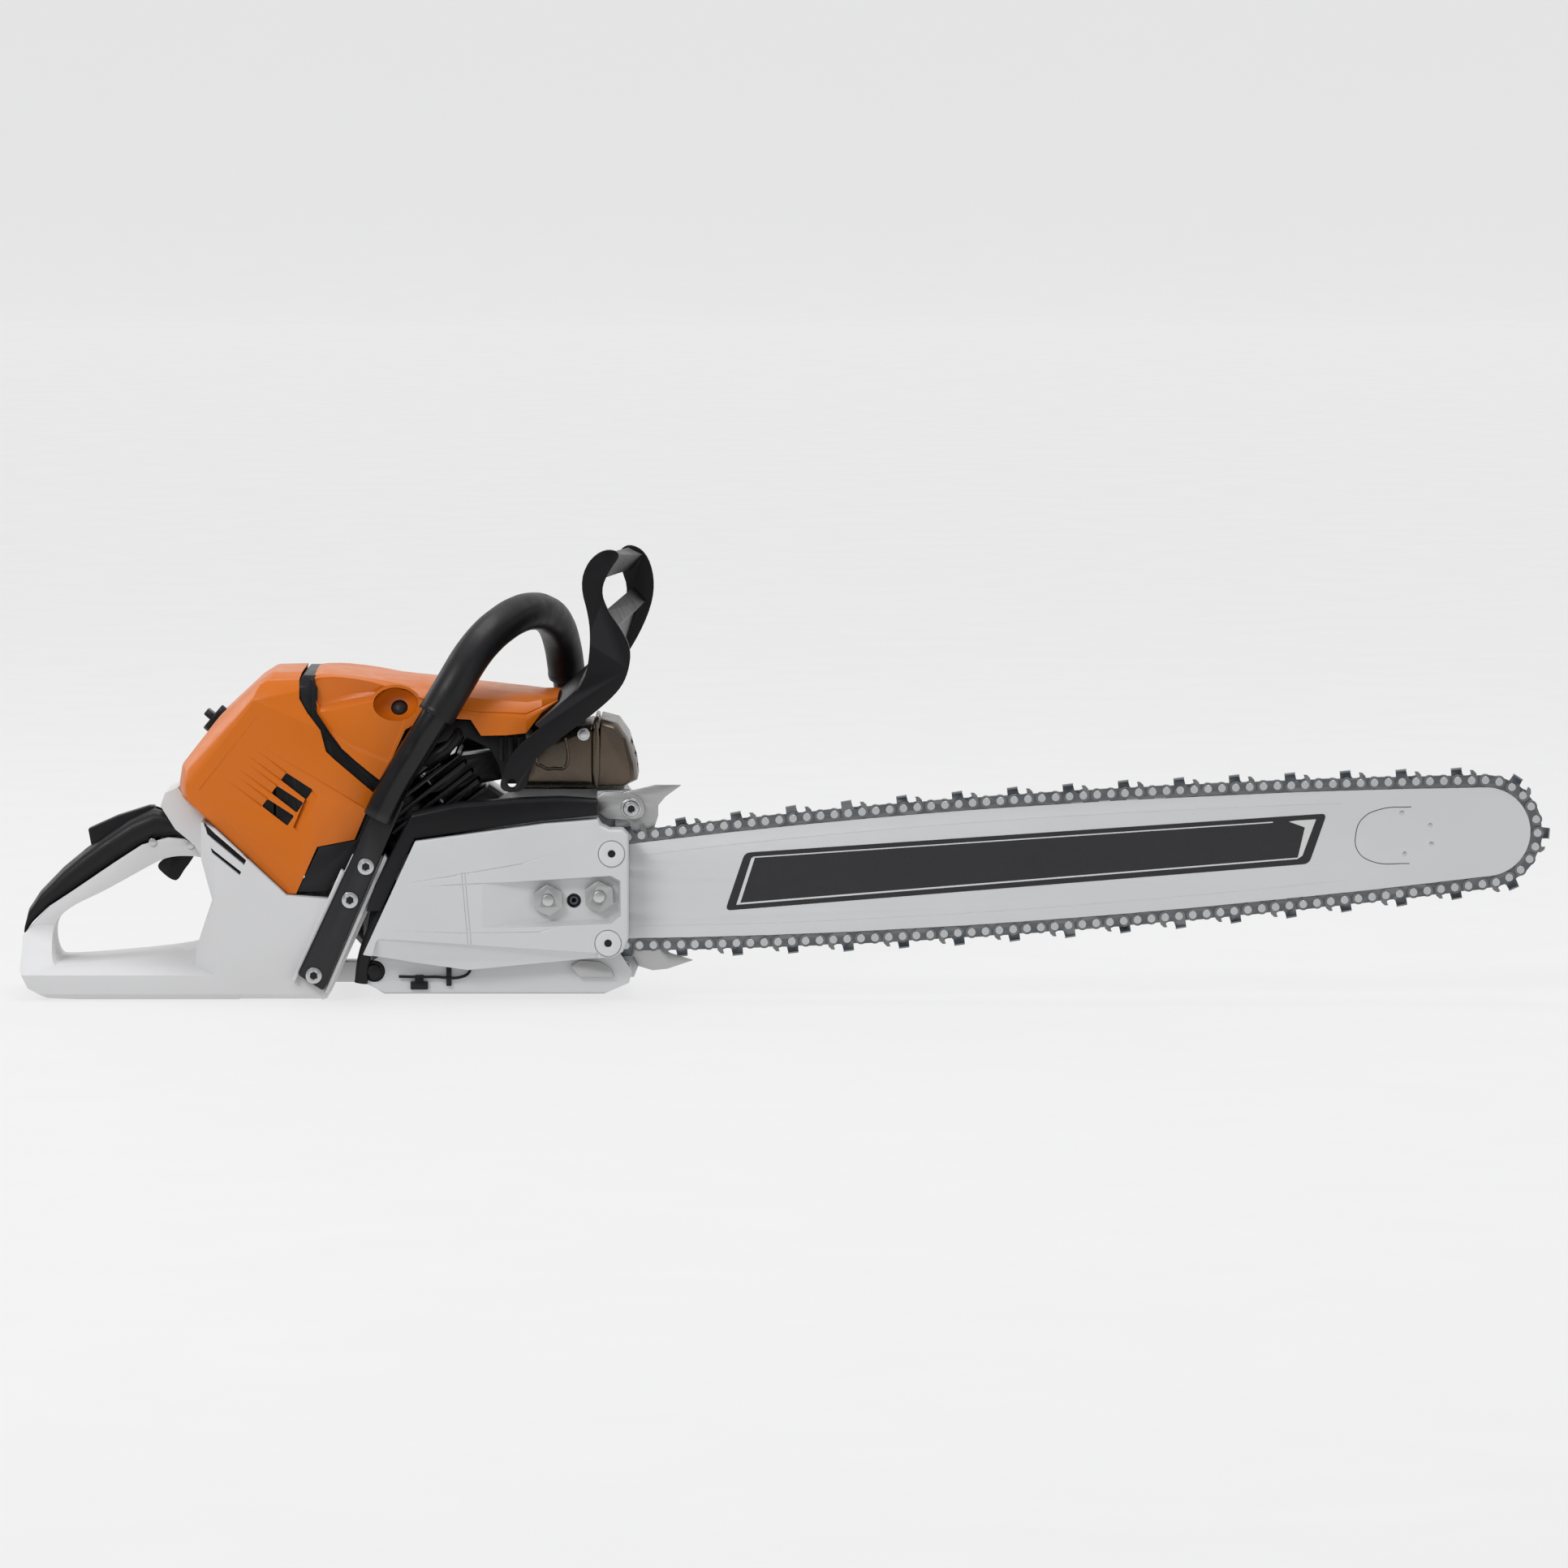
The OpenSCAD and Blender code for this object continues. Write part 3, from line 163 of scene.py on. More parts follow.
def heated_steel():
    """Steel that exhaust heat has browned, with straw and brown bands and a streaky roughness."""
    made, tree, shader = principled("heated_steel", Metallic=0.92)
    band = noise(tree, 11, 2)
    cool = ramp(tree, band, (0.085, 0.071, 0.058), (0.165, 0.136, 0.106), 0.30, 0.70)
    share = spread(tree, noise(tree, 24, 2), 0.0, 0.30)
    blush = node(tree, "ShaderNodeMix", {"Factor": share, "A": cool, "B": (0.17, 0.105, 0.065, 1)},
                 data_type="RGBA")
    tree.links.new(blush.outputs["Result"], shader.inputs["Base Color"])
    tree.links.new(spread(tree, noise(tree, 90, 5), 0.22, 0.32), shader.inputs["Roughness"])
    link_relief(tree, shader, noise(tree, 700, 3), 0.04)
    return made


LOOKS["heated_steel"] = heated_steel()
INK = finish_of("panel_ink", (0.012, 0.012, 0.014), 0.30, grain=700, bump=0.02, vary=0.1)
PALE_INK = finish_of("pale_ink", (0.62, 0.62, 0.62), 0.38, grain=700, bump=0.02, vary=0.04)
# Painted shade: a near-black material for the inside of holes, sockets and windows, where there is only
# shade.
HOLE_SHADE = finish_of("hole_shadow", (0.004, 0.004, 0.005), 0.8, grain=600, bump=0.1, vary=0.2)


# ---------------------------------------------------------------- building


def link(obj):
    bpy.context.scene.collection.objects.link(obj)
    return obj


def from_bmesh(name, bm):
    bmesh.ops.recalc_face_normals(bm, faces=bm.faces)
    mesh = bpy.data.meshes.new(name)
    bm.to_mesh(mesh)
    bm.free()
    return link(bpy.data.objects.new(name, mesh))


def at(x, y, z):
    return Vector((x, y, z)) * MM


def bar_at(u, w, v):
    """A point in the bar's own plane: u along it, w to the left of it, v up."""
    tilt = math.radians(BAR_TILT)
    along = u * math.cos(tilt) - v * math.sin(tilt)
    up = CRANK_HEIGHT + u * math.sin(tilt) + v * math.cos(tilt)
    return Vector((along, BAR_PLANE + w, up)) * MM


def solid(name, rings, place=at):
    """A closed solid through rings [(outline, y), ...]; all outlines have the same number of points."""
    bm = bmesh.new()
    layers = [[bm.verts.new(place(x, y, z)) for x, z in outline] for outline, y in rings]
    count = len(layers[0])
    for a, b in zip(layers, layers[1:]):
        for i in range(count):
            j = (i + 1) % count
            bm.faces.new((a[i], a[j], b[j], b[i]))
    bm.faces.new(layers[0])
    bm.faces.new(layers[-1])
    return from_bmesh(name, bm)


def prism(name, outline, y0, y1, place=at):
    return solid(name, [(outline, y0), (outline, y1)], place)


def convex(name, slices):
    """The convex hull of side-view outlines [(outline, y), ...]."""
    bm = bmesh.new()
    for outline, y in slices:
        for x, z in outline:
            bm.verts.new(at(x, y, z))
    bmesh.ops.convex_hull(bm, input=bm.verts)
    bmesh.ops.delete(bm, geom=[v for v in bm.verts if not v.link_faces], context="VERTS")
    bmesh.ops.dissolve_limit(bm, angle_limit=math.radians(1.5), verts=bm.verts, edges=bm.edges)
    return from_bmesh(name, bm)


def circle(x, z, r, count=40, start=0.0):
    angles = [start + 2 * math.pi * k / count for k in range(count)]
    return [(x + r * math.cos(angle), z + r * math.sin(angle)) for angle in angles]


def rounded(points, n=2):
    """Cuts an outline's corners n times."""
    for _ in range(n):
        pairs = list(zip(points, points[1:] + points[:1]))
        points = [(a[0] + (b[0] - a[0]) * t, a[1] + (b[1] - a[1]) * t)
                  for a, b in pairs for t in (0.25, 0.75)]
    return points


def soft(points, radius, n=4):
    """Rounds an outline's corners with arcs that start at the given distance from each corner."""
    result = []
    count = len(points)
    for i in range(count):
        before, corner, after = (Vector(points[(i + k) % count]) for k in (-1, 0, 1))
        reach = min(radius, (before - corner).length / 2.2, (after - corner).length / 2.2)
        start = corner + (before - corner).normalized() * reach
        end = corner + (after - corner).normalized() * reach
        for k in range(n + 1):
            t = k / n
            result.append(tuple(start * (1 - t) ** 2 + corner * 2 * t * (1 - t) + end * t * t))
    return result


def bevel(obj, width, segments=3, angle=30, weights=None):
    """Rounds edges sharper than angle. weights(middle of the edge in mm, edge) scales the width of each."""
    mod = obj.modifiers.new("rounding", "BEVEL")
    mod.width = width * MM
    mod.segments = segments
    mod.limit_method = "ANGLE"
    mod.angle_limit = math.radians(angle)
    mod.harden_normals = False
    if weights:
        mod.limit_method = "WEIGHT"
        bm = bmesh.new()
        bm.from_mesh(obj.data)
        layer = bm.edges.layers.float.new("bevel_weight_edge")
        for edge in bm.edges:
            sharp = len(edge.link_faces) == 2 and edge.calc_face_angle(0) > math.radians(angle)
            middle = (edge.verts[0].co + edge.verts[1].co) / 2 / MM
            edge[layer] = weights(middle, edge) if sharp else 0.0
        bm.to_mesh(obj.data)
        bm.free()
    return obj


def bake(obj):
    """Applies every modifier to the mesh."""
    bpy.context.view_layer.update()
    shown = obj.evaluated_get(bpy.context.evaluated_depsgraph_get())
    mesh = bpy.data.meshes.new_from_object(shown)
    obj.modifiers.clear()
    obj.data = mesh
    return obj


def cut(obj, *cutters, keep=False, own=False):
    """Subtracts the cutters one by one; own is for a solid whose own faces cross."""
    for cutter in cutters:
        mod = obj.modifiers.new("cut", "BOOLEAN")
        mod.operation = "DIFFERENCE"
        mod.solver = "EXACT"
        mod.use_self = own
        mod.object = cutter
        bake(obj)
        if not keep:
            bpy.data.objects.remove(cutter)
    return obj


def shade(obj, angle=32):
    mesh = obj.data
    mesh.shade_smooth()
    mesh.set_sharp_from_angle(angle=math.radians(angle))
    return obj


def dress(obj, look, body="saw", angle=32, replaces=()):
    """Gives a piece its look and its body, and hides the CAD nodes that it replaces."""
    shade(obj, angle)
    obj.data.materials.clear()
    obj.data.materials.append(LOOKS[look] if isinstance(look, str) else look)
    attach(obj, body)
    if replaces:
        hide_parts(*replaces)
    return obj


def refined(name, width, segments=3, angle=28, weights=None, look=None, shading=32, flat=0.6):
    """A CAD node's copy with its flat faces joined and its edges rounded, which stands for the node."""
    mesh = NODES[name].data.copy()
    bm = bmesh.new()
    bm.from_mesh(mesh)
    bmesh.ops.remove_doubles(bm, verts=bm.verts, dist=2e-6)
    bmesh.ops.dissolve_limit(bm, angle_limit=math.radians(flat), verts=bm.verts, edges=bm.edges)
    bmesh.ops.recalc_face_normals(bm, faces=bm.faces)
    if "custom_normal" in mesh.attributes:
        mesh.attributes.remove(mesh.attributes["custom_normal"])
    bm.to_mesh(mesh)
    bm.free()
    obj = link(bpy.data.objects.new(name + "_piece", mesh))
    if width:
        bevel(obj, width, segments, angle, weights)
        bake(obj)
    return dress(obj, look or SLOT[name], BODY[name], shading, (name,))


def tube(name, points, radius, resolution=10, sides=10, cyclic=False, ends=True):
    """A round tube along a smooth curve through points in metres."""
    curve = bpy.data.curves.new(name, "CURVE")
    curve.dimensions = "3D"
    curve.bevel_depth = radius
    curve.bevel_resolution = sides
    curve.use_fill_caps = ends
    spline = curve.splines.new("BEZIER")
    spline.bezier_points.add(len(points) - 1)
    spline.resolution_u = resolution
    spline.use_cyclic_u = cyclic
    for place, point in zip(points, spline.bezier_points):
        point.co = place
        point.handle_left_type = point.handle_right_type = "AUTO"
    holder = link(bpy.data.objects.new(name + "_path", curve))
    bpy.context.view_layer.update()
    shown = holder.evaluated_get(bpy.context.evaluated_depsgraph_get())
    mesh = bpy.data.meshes.new_from_object(shown)
    bpy.data.objects.remove(holder)
    bm = bmesh.new()
    bm.from_mesh(mesh)
    bmesh.ops.remove_doubles(bm, verts=bm.verts, dist=1e-6)
    bm.to_mesh(mesh)
    bm.free()
    mesh.name = name
    return link(bpy.data.objects.new(name, mesh))


def disc(name, x, z, r, y0, y1, rounding=0.6, look="bright_steel", hole=0.0, body="saw", count=40):
    """A round piece across the saw from y0 to y1, with a hole if that has a radius."""
    obj = prism(name, circle(x, z, r, count), y0, y1)
    if hole:
        cut(obj, prism(name + "_hole", circle(x, z, hole, count), min(y0, y1) - 2, max(y0, y1) + 2))
    bake(bevel(obj, rounding, 3, 40))
    return dress(obj, look, body)


# ---------------------------------------------------------------- plain CAD nodes with rounded edges

# Each node's rounding in millimetres, and its segments.
ROUNDING = {
    "tank_housing": (2.2, 3), "throttle_trigger": (1.2, 3), "trigger_interlock": (1.5, 3),
    "handle_pins": (0.3, 2), "stop_switch": (0.6, 2), "air_filter": (0.6, 1), "intake_housing": (1.0, 2),
    "throttle_body": (1.0, 2), "engine_cylinder": (0.6, 2), "spark_plug": (0.3, 2),
    "spark_plug_boot": (1.2, 3), "piston": (0.4, 2), "connecting_rod": (0.5, 2), "crankcase_right": (1.6, 3),
    "crankcase_left": (1.6, 3), "main_bearings": (0.2, 1), "crankshaft": (0.5, 1), "flywheel": (0.5, 1),
    "clutch_hub": (0.5, 1), "drive_sprocket": (0.3, 1), "oil_pump": (0.2, 1), "exhaust_gasket": (0.0, 1),
    "starter_cover": (1.2, 3), "rope_pulley": (0.5, 1), "rewind_spring": (0.2, 1), "starter_grip": (0.6, 2),
    "fuel_cap": (1.0, 3), "fuel_cap_lever": (0.5, 2), "oil_cap": (1.0, 3), "oil_cap_lever": (0.5, 2),
    "brake_band": (0.1, 1), "hand_guard": (1.4, 3), "handle_screws": (0.35, 2), "vibration_mounts": (0.8, 2),
    "spike_bracket": (0.6, 2), "bumper_spike": (0.5, 2), "case_screws": (0.35, 2), "chain_catcher": (0.8, 2),
    "bar_studs": (0.5, 2), "bar_nuts": (0.5, 2), "chain_tensioner": (0.3, 1), "guide_bar": (0.25, 2),
    "nose_sprocket": (0.1, 1),
}
SATIN = ("bumper_spike", "spike_bracket", "bar_nuts", "chain_catcher")
for part, (width, segments) in ROUNDING.items():
    refined(part, width, segments, look="satin_steel" if part in SATIN else None)
for part in ("drive_links", "tie_straps", "right_cutters", "left_cutters", "rivets"):
    refined("chain_" + part, 0.12, 1, look="bright_steel" if part == "rivets" else None)
# The rope bends as it is pulled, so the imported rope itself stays.
NODES["starter_rope"].data.materials.clear()
NODES["starter_rope"].data.materials.append(LOOKS["rope_fibre"])


# ---------------------------------------------------------------- orange covers

SIDES = ((-1, "right"), (1, "left"))


def mirrored(name, points):
    """The convex hull of points (x, half width, z) in millimetres on both sides of the centre plane."""
    bm = bmesh.new()
    for x, y, z in points:
        for side in {y, -y}:
            bm.verts.new(at(x, side, z))
    bmesh.ops.convex_hull(bm, input=bm.verts)
    bmesh.ops.delete(bm, geom=[v for v in bm.verts if not v.link_faces], context="VERTS")
    bmesh.ops.dissolve_limit(bm, angle_limit=math.radians(1.2), verts=bm.verts, edges=bm.edges)
    return from_bmesh(name, bm)


def inset_copy(obj, wall):
    """A copy of a closed solid, shrunk by the wall along its normals."""
    bm = bmesh.new()
    bm.from_mesh(obj.data)
    bm.normal_update()
    moved = {v: v.co - v.normal * v.calc_shell_factor() * wall * MM for v in bm.verts}
    for v, place in moved.items():
        v.co = place
    return from_bmesh(obj.name + "_inside", bm)


def crease_cutter(p, q, width, depth, y, end_depth=0.0, end_width=0.3):
    """A V-shaped cutter from p to q (x, z) on the face at y, which fades towards q."""
    p, q = Vector(p), Vector(q)
    across = Vector((-(q - p).y, (q - p).x)).normalized()
    inward = -1 if y > 0 else 1
    out = y - inward * 1.0
    bm = bmesh.new()
    for place, w, d in ((p, width, depth), (q, end_width, end_depth)):
        for s in (-1, 1):
            edge = place + across * s * w / 2
            bm.verts.new(at(edge.x, y, edge.y))
            bm.verts.new(at(edge.x, out, edge.y))
        bm.verts.new(at(place.x, y + inward * max(d, 0.02), place.y))
    bmesh.ops.convex_hull(bm, input=bm.verts)
    bmesh.ops.delete(bm, geom=[v for v in bm.verts if not v.link_faces], context="VERTS")
    return from_bmesh("crease", bm)


# Side view (x, z) of what the filter cover keeps: its edges against the shroud, the housing and the collar.
COVER_EDGE = [(-105, 240), (-105, 231), (-108.4, 219.5), (-108.2, 206.5), (-103, 197.4), (-93.7, 185.1),
              (-90, 170.7), (-84.4, 165.2), (-56.7, 141.6), (-61.5, 131.4), (-70.5, 110), (-96.2, 105),
              (-110.8, 72.6), (-116, 72.6), (-116, 60), (-210, 60), (-210, 240)]
# The top vent's corners (x, z), and the step from one vent to the next.
VENT_CORNERS = [(-117.1, 156.1), (-100.4, 145.3), (-103.6, 137.4), (-121.0, 151.0)]
VENT_STEP = (-6.5, -9.0)
# The knob's place on the filter cover in millimetres, and how far its axis leans back in degrees.
KNOB_PLACE = (-168, 0, 187)
KNOB_LEAN = 50


def build_filter_cover():
    """The filter cover: a faceted shell with three vents on each side, ramps and shallow creases."""
    half = 64
    shell = mirrored("filter_cover_piece", [
        (-140, half, 206), (-94, half, 187.6), (-50, half, 167.4), (-50, half, 100), (-104, half, 62),
        (-114, half, 70), (-184, half, 136), (-186, half, 147), (-135.5, 57, 216), (-129.5, 55, 219.3),
        (-119, 58.4, 213.4), (-60, 53.5, 221), (-50, 53, 214), (-189, 56, 139), (-186.5, 56, 157),
        (-141, 56, 210.5), (-192, 42, 147), (-190, 42, 160), (-165, 42, 192), (-138, 42, 217),
        (-128, 40, 223.5), (-60, 40, 225), (-190, 42, 137), (-114, 42, 66), (-104, 42, 60)])
    lining = inset_copy(shell, 2.6)
    wide = 5.5
    narrow = 1.2

    def width_at(middle, edge):
        on_band = -130 < middle.x and middle.z > 160 and abs(middle.y) > 52
        return narrow / wide if on_band else 1.0
    bevel(shell, wide, 4, 6, width_at)
    bake(shell)
    keep = prism("cover_keep", COVER_EDGE, -70, 70)
    mod = shell.modifiers.new("trim", "BOOLEAN")
    mod.operation = "INTERSECT"
    mod.solver = "EXACT"
    mod.object = keep
    bake(shell)
    bpy.data.objects.remove(keep)
    cut(shell, lining)
    lean = math.radians(KNOB_LEAN)
    knob_axis = Vector((-math.sin(lean), 0, math.cos(lean)))
    hole = from_bmesh("knob_hole", cylinder_mesh(7.5, 60, 32))
    turn = knob_axis.to_track_quat("Z", "Y").to_matrix().to_4x4()
    hole.data.transform(Matrix.Translation(at(*KNOB_PLACE)) @ turn)
    cutters = [hole]
    for side in (-1, 1):
        y = side * half
        for k in range(3):
            corners = [(x + VENT_STEP[0] * k, z + VENT_STEP[1] * k) for x, z in VENT_CORNERS]
            corners[1] = (corners[1][0] + 1.5, corners[1][1] - 1)
            cutters.append(prism("vent", soft(corners, 1.2), y - side * 6, y + side * 2))
        ramp_outline = [(-100.8, 146), (-95.5, 139.4), (-108.6, 114.4), (-112.5, 118.5)]
        ramp_floor = [(-102.2, 145), (-101.7, 144.4), (-113.2, 119), (-113.7, 119.6)]
        cutters.append(solid("ramp", [(ramp_outline, y + side * 0.5), (ramp_outline, y - side * 0.05),
                                      (ramp_floor, y - side * 2.9)]))
        for k in range(3):
            for corner, reach in ((0, 20), (3, 24)):
                x, z = VENT_CORNERS[corner]
                start = (x + VENT_STEP[0] * k, z + VENT_STEP[1] * k)
                end = (start[0] - reach, start[1] + 0.76 * reach)
                cutters.append(crease_cutter(start, end, 1.8, 0.9, y))
        cutters.append(crease_cutter((-61, 130.5), (-134, 174), 1.3, 0.6, y, 0.1))
        cutters.append(crease_cutter((-184, 149), (-157, 184), 0.9, 0.45, y, 0.1))
        cutters.append(crease_cutter((-177, 144), (-136, 196), 0.9, 0.45, y, 0.1))
    cut(shell, *cutters)
    bake(bevel(shell, 0.35, 2, 50))
    dress(shell, "orange_plastic", replaces=("filter_cover",), angle=24)
    screen = rounded([(-145, 130), (-118, 162), (-92, 146), (-112, 108)], 1)
    for side, name in SIDES:
        panel = prism(f"vent_screen_{name}", screen, side * 58.2, side * 60.6)
        for k in range(5):
            x, z = -134 + 8 * k, 136 + 2.4 * k
            gap = [(x, z - 12), (x + 1.4, z - 12), (x + 1.4, z + 12), (x, z + 12)]
            cut(panel, prism("mesh_gap", gap, side * 57, side * 62))
        dress(panel, "black_plastic")


def cylinder_mesh(r, depth, count):
    """A closed cylinder about its own Z, centred, with r and depth in millimetres."""
    bm = bmesh.new()
    bmesh.ops.create_cone(bm, cap_ends=True, segments=count, radius1=r * MM, radius2=r * MM,
                          depth=depth * MM)
    return bm


# Stations along the shroud: x, top, then (half width, z) of the ledge, the valley under it, both edges of the
# lit facet, both edges of the crease on the flank, and the height of the lower edge.
SHROUD = [
    (-97.8, 223.4, (55, 220), (56, 203), (56.4, 199.6), (56.8, 194), (57.2, 193), (57.6, 192), 209),
    (-94, 223.2, (56, 221), (54.8, 205), (55.4, 201.5), (60.4, 196.6), (60.6, 190), (61.6, 189), 197),
    (-85.3, 222.8, (57.5, 221.6), (54.4, 207), (55.2, 203.6), (60.8, 198.6), (60.4, 185.4), (62.2, 183.4),
     182.8),
    (-79, 222.3, (58.5, 221.4), (54.2, 208.6), (55.2, 205), (61, 200), (60.2, 180.2), (62.4, 177.8), 172.6),
    (-70, 221.4, (59.5, 220.4), (54.4, 210.2), (55.6, 206.8), (61.2, 202), (60.2, 174.4), (62.6, 171.6),
     164.4),
    (-60, 220.4, (59.8, 218.6), (55.2, 211), (56.8, 208.2), (61.4, 204.2), (60.4, 170.4), (62.8, 167.6),
     156.2),
    (-52.6, 219.8, (60, 216.6), (57, 211), (58.6, 209), (61.6, 205.6), (60.8, 167.2), (62.8, 164.8), 150.4),
    (-47.4, 219.4, (60.2, 215), (58, 210.6), (59.4, 208.8), (61.8, 205), (61.6, 164.6), (62.8, 162.8), 159.6),
    (-35.5, 218, (60.5, 211.4), (59.4, 208), (60.4, 206.6), (62.2, 203), (62.4, 194), (62.8, 192), 185.6),
    (-24, 216.8, (61, 207.4), (60.6, 205.4), (61.2, 204.4), (62.4, 201.6), (62.8, 198), (62.9, 196.4), 192.6),
    (-8, 215, (61.5, 202.8), (61.8, 201.6), (62.2, 200.8), (62.8, 199.2), (63, 198), (63.1, 196.6), 193.5),
    (9.5, 212.8, (62, 199.2), (62.3, 198.4), (62.6, 197.8), (63, 196.6), (63.2, 195.6), (63.2, 194.6), 192.5),
    (16.5, 212, (62, 198.4), (62.4, 197.4), (62.7, 196.6), (63, 195.6), (63.2, 194.6), (63.2, 193.2), 181.5),
    (34, 210, (62, 197.8), (62.4, 196.8), (62.7, 196), (63, 194.8), (63.2, 193.8), (63.2, 192.6), 181.8),
    (47.5, 208.6, (60, 196.8), (60.6, 195.8), (61, 195), (61.6, 193.8), (61.8, 192.8), (62, 191.6), 183.2),
    (58, 207.2, (54, 201), (55, 200.4), (55.6, 200), (56.4, 199.4), (57, 198.8), (57.4, 198.2), 196.8),
    (68.5, 206, (44, 204.8), (44.6, 204.7), (45, 204.6), (45.4, 204.5), (45.8, 204.4), (46, 204.2), 203.8),
]


# How far the valve's button sits along the valve's axis, and the centre of the shroud's dish around it.
VALVE_REACH = 10.4
DISH_CENTRE = (-42, -61.5, 203)


def build_shroud():
    """The top shroud: a skin over its stations, with a dish on the right for the decompression valve."""
    bm = bmesh.new()
    columns = []
    for x, top, ledge, *flank, low in SHROUD:
        shoulder = ((38 + ledge[0]) / 2 + 4, (top + ledge[1]) / 2 + 1.0)
        under = (ledge[0] - 0.6, ledge[1] - 1.4)
        section = [(0, top + 1.2), (22, top + 0.9), (38, top - 0.4), shoulder, ledge, under]
        section += [(y, max(z, low + 1.2 - 0.2 * k)) for k, (y, z) in enumerate(flank)]
        section.append((flank[-1][0] + 0.2, low))
        half = [bm.verts.new(at(x, -y, z)) for y, z in section]
        other = [bm.verts.new(at(x, y, z)) for y, z in section[1:]]
        columns.append(list(reversed(half)) + other)
    for a, b in zip(columns, columns[1:]):
        for i in range(len(a) - 1):
            bm.faces.new((a[i], b[i], b[i + 1], a[i + 1]))
    shell = from_bmesh("top_shroud_piece", bm)
    if max(shell.data.polygons, key=lambda face: face.center.z).normal.z < 0:
        shell.data.flip_normals()
    skin = shell.modifiers.new("skin", "SOLIDIFY")
    skin.thickness = 2.4 * MM
    skin.offset = -1
    bake(shell)
    dish = ellipsoid("dish", DISH_CENTRE, (15.5, 13, 11.5))
    wall = ellipsoid("valve_dish", DISH_CENTRE, (17.5, 15, 13.5))
    cut(wall, dish, keep=True)
    cut(wall, prism("outside", circle(DISH_CENTRE[0], DISH_CENTRE[2], 40), -60.4, -90))
    cut(shell, dish, own=True)
    cut(wall, *[valve_ball("valve_room", 7.7, reach) for reach in (VALVE_REACH, VALVE_REACH - 3.5)])
    bevel(shell, 0.6, 2, 14)
    bake(shell)
    dress(shell, "orange_plastic", replaces=("top_shroud",), angle=20)
    dress(wall, "orange_plastic", angle=40)


def build_valve():
    """The decompression valve: a stem with a knurled round button in the shroud's dish."""
    turn = valve_axis()
    stem = from_bmesh("decompression_valve_piece", cylinder_mesh(4.2, 22, 28))
    stem.data.transform(turn @ Matrix.Translation(at(0, 0, -2)))
    bake(bevel(stem, 0.5, 2, 40))
    dress(stem, "black_plastic", BODY["decompression_valve"], replaces=("decompression_valve",))
    button = valve_ball("valve_button", 7.1, VALVE_REACH)
    dress(button, "knurled_rubber", BODY["decompression_valve"], angle=60)


def build_intake_band():
    """The black band between both orange covers: an arch over the top and a faceted cheek on each side."""
    arch = mirrored("intake_band_arch", [
        (-110, 57.8, 214.6), (-97.4, 57.8, 214.6), (-110, 57.8, 213), (-97.4, 57.8, 213), (-106, 52.5, 222.4),
        (-97, 52.5, 222.4), (-106, 0, 222.8), (-97, 0, 222.8)])
    cut(arch, prism("inside", [(-120, 200), (-80, 200), (-80, 219.6), (-120, 219.6)], -50, 50))
    bake(bevel(arch, 0.7, 2, 12))
    dress(arch, "black_plastic", angle=24)
    outer = [(-111, 206), (-111, 213.6), (-97.5, 213.6), (-97.5, 203), (-94, 195.4), (-84.5, 182),
             (-78, 173.4), (-76, 168.6), (-50, 148.5), (-53, 138), (-84, 161.5), (-93, 168.5), (-97, 184),
             (-106, 196)]
    facet = [(-95.5, 182), (-85.5, 177.6), (-84.6, 163.6), (-93, 168)]
    crown = [(-94, 180.6), (-86.4, 176.6), (-85.4, 165), (-92.4, 169)]
    for side, name in SIDES:
        cheek = prism(f"intake_band_{name}", outer, side * 54, side * 57.7)
        bake(bevel(cheek, 0.5, 2, 30))
        dress(cheek, "black_plastic")
        rings = [(facet, side * 57), (facet, side * 58.2), (crown, side * 59.4)]
        raised = solid(f"intake_facet_{name}", rings)
        bake(bevel(raised, 0.3, 2, 30))
        dress(raised, "black_plastic")


def ellipsoid(name, centre, radii):
    bm = bmesh.new()
    bmesh.ops.create_icosphere(bm, subdivisions=4, radius=1.0)
    bmesh.ops.scale(bm, vec=Vector(radii) * MM, verts=bm.verts)
    bmesh.ops.translate(bm, vec=at(*centre), verts=bm.verts)
    return from_bmesh(name, bm)


def valve_axis():
    """From the decompression valve's own frame, with Z along its travel, to the saw's."""
    turn = Matrix.Rotation(math.radians(-22), 4, "Y") @ Matrix.Rotation(math.radians(32), 4, "X")
    return Matrix.Translation(at(-36, -40, 190)) @ turn


def valve_ball(name, r, reach):
    """A ball on the decompression valve's axis."""
    ball = ellipsoid(name, (0, 0, 0), (r, r, r))
    ball.data.transform(valve_axis() @ Matrix.Translation(at(0, 0, reach)))
    return ball


def build_knob():
    """The filter cover's quarter-turn knob: a low disc with a wing."""
    turn = Matrix.Translation(at(*KNOB_PLACE)) @ Matrix.Rotation(math.radians(-KNOB_LEAN), 4, "Y")
    base = from_bmesh("cover_knob_piece", cylinder_mesh(10.5, 5, 40))
    base.data.transform(turn @ Matrix.Translation(at(0, 0, 2.2)))
    bake(bevel(base, 1.0, 3, 40))
    dress(base, "black_plastic", "knob", replaces=("cover_knob",))
    wing = prism("knob_wing", soft([(-9, 3), (9, 3), (7.5, 10.5), (-7.5, 10.5)], 2.5), -2.4, 2.4)
    wing.data.transform(turn @ Matrix.Rotation(math.radians(90), 4, "Z"))
    bake(bevel(wing, 0.8, 2, 40))
    dress(wing, "black_plastic", "knob")


build_filter_cover()
build_shroud()
build_valve()
build_intake_band()
build_knob()


# ---------------------------------------------------------------- handles

# The front handle's middle line (x, y, z) from its foot on the right over the top to the left.
HANDLE_PATH = [(-54, -78, 126), (-42, -78.3, 150), (-28, -78.8, 173), (-14, -79.2, 196), (-1, -76.6, 218),
               (10, -66, 236), (20, -52, 248), (30, -34, 256), (40, -12, 261), (49, 12, 262), (57, 36, 259),
               (64, 58, 251), (69, 77, 234), (72, 87, 212), (74, 88.0, 180), (76, 88.3, 120), (76, 88.1, 50),
               (75, 85, 26), (73, 77, 14), (71, 69, 11)]
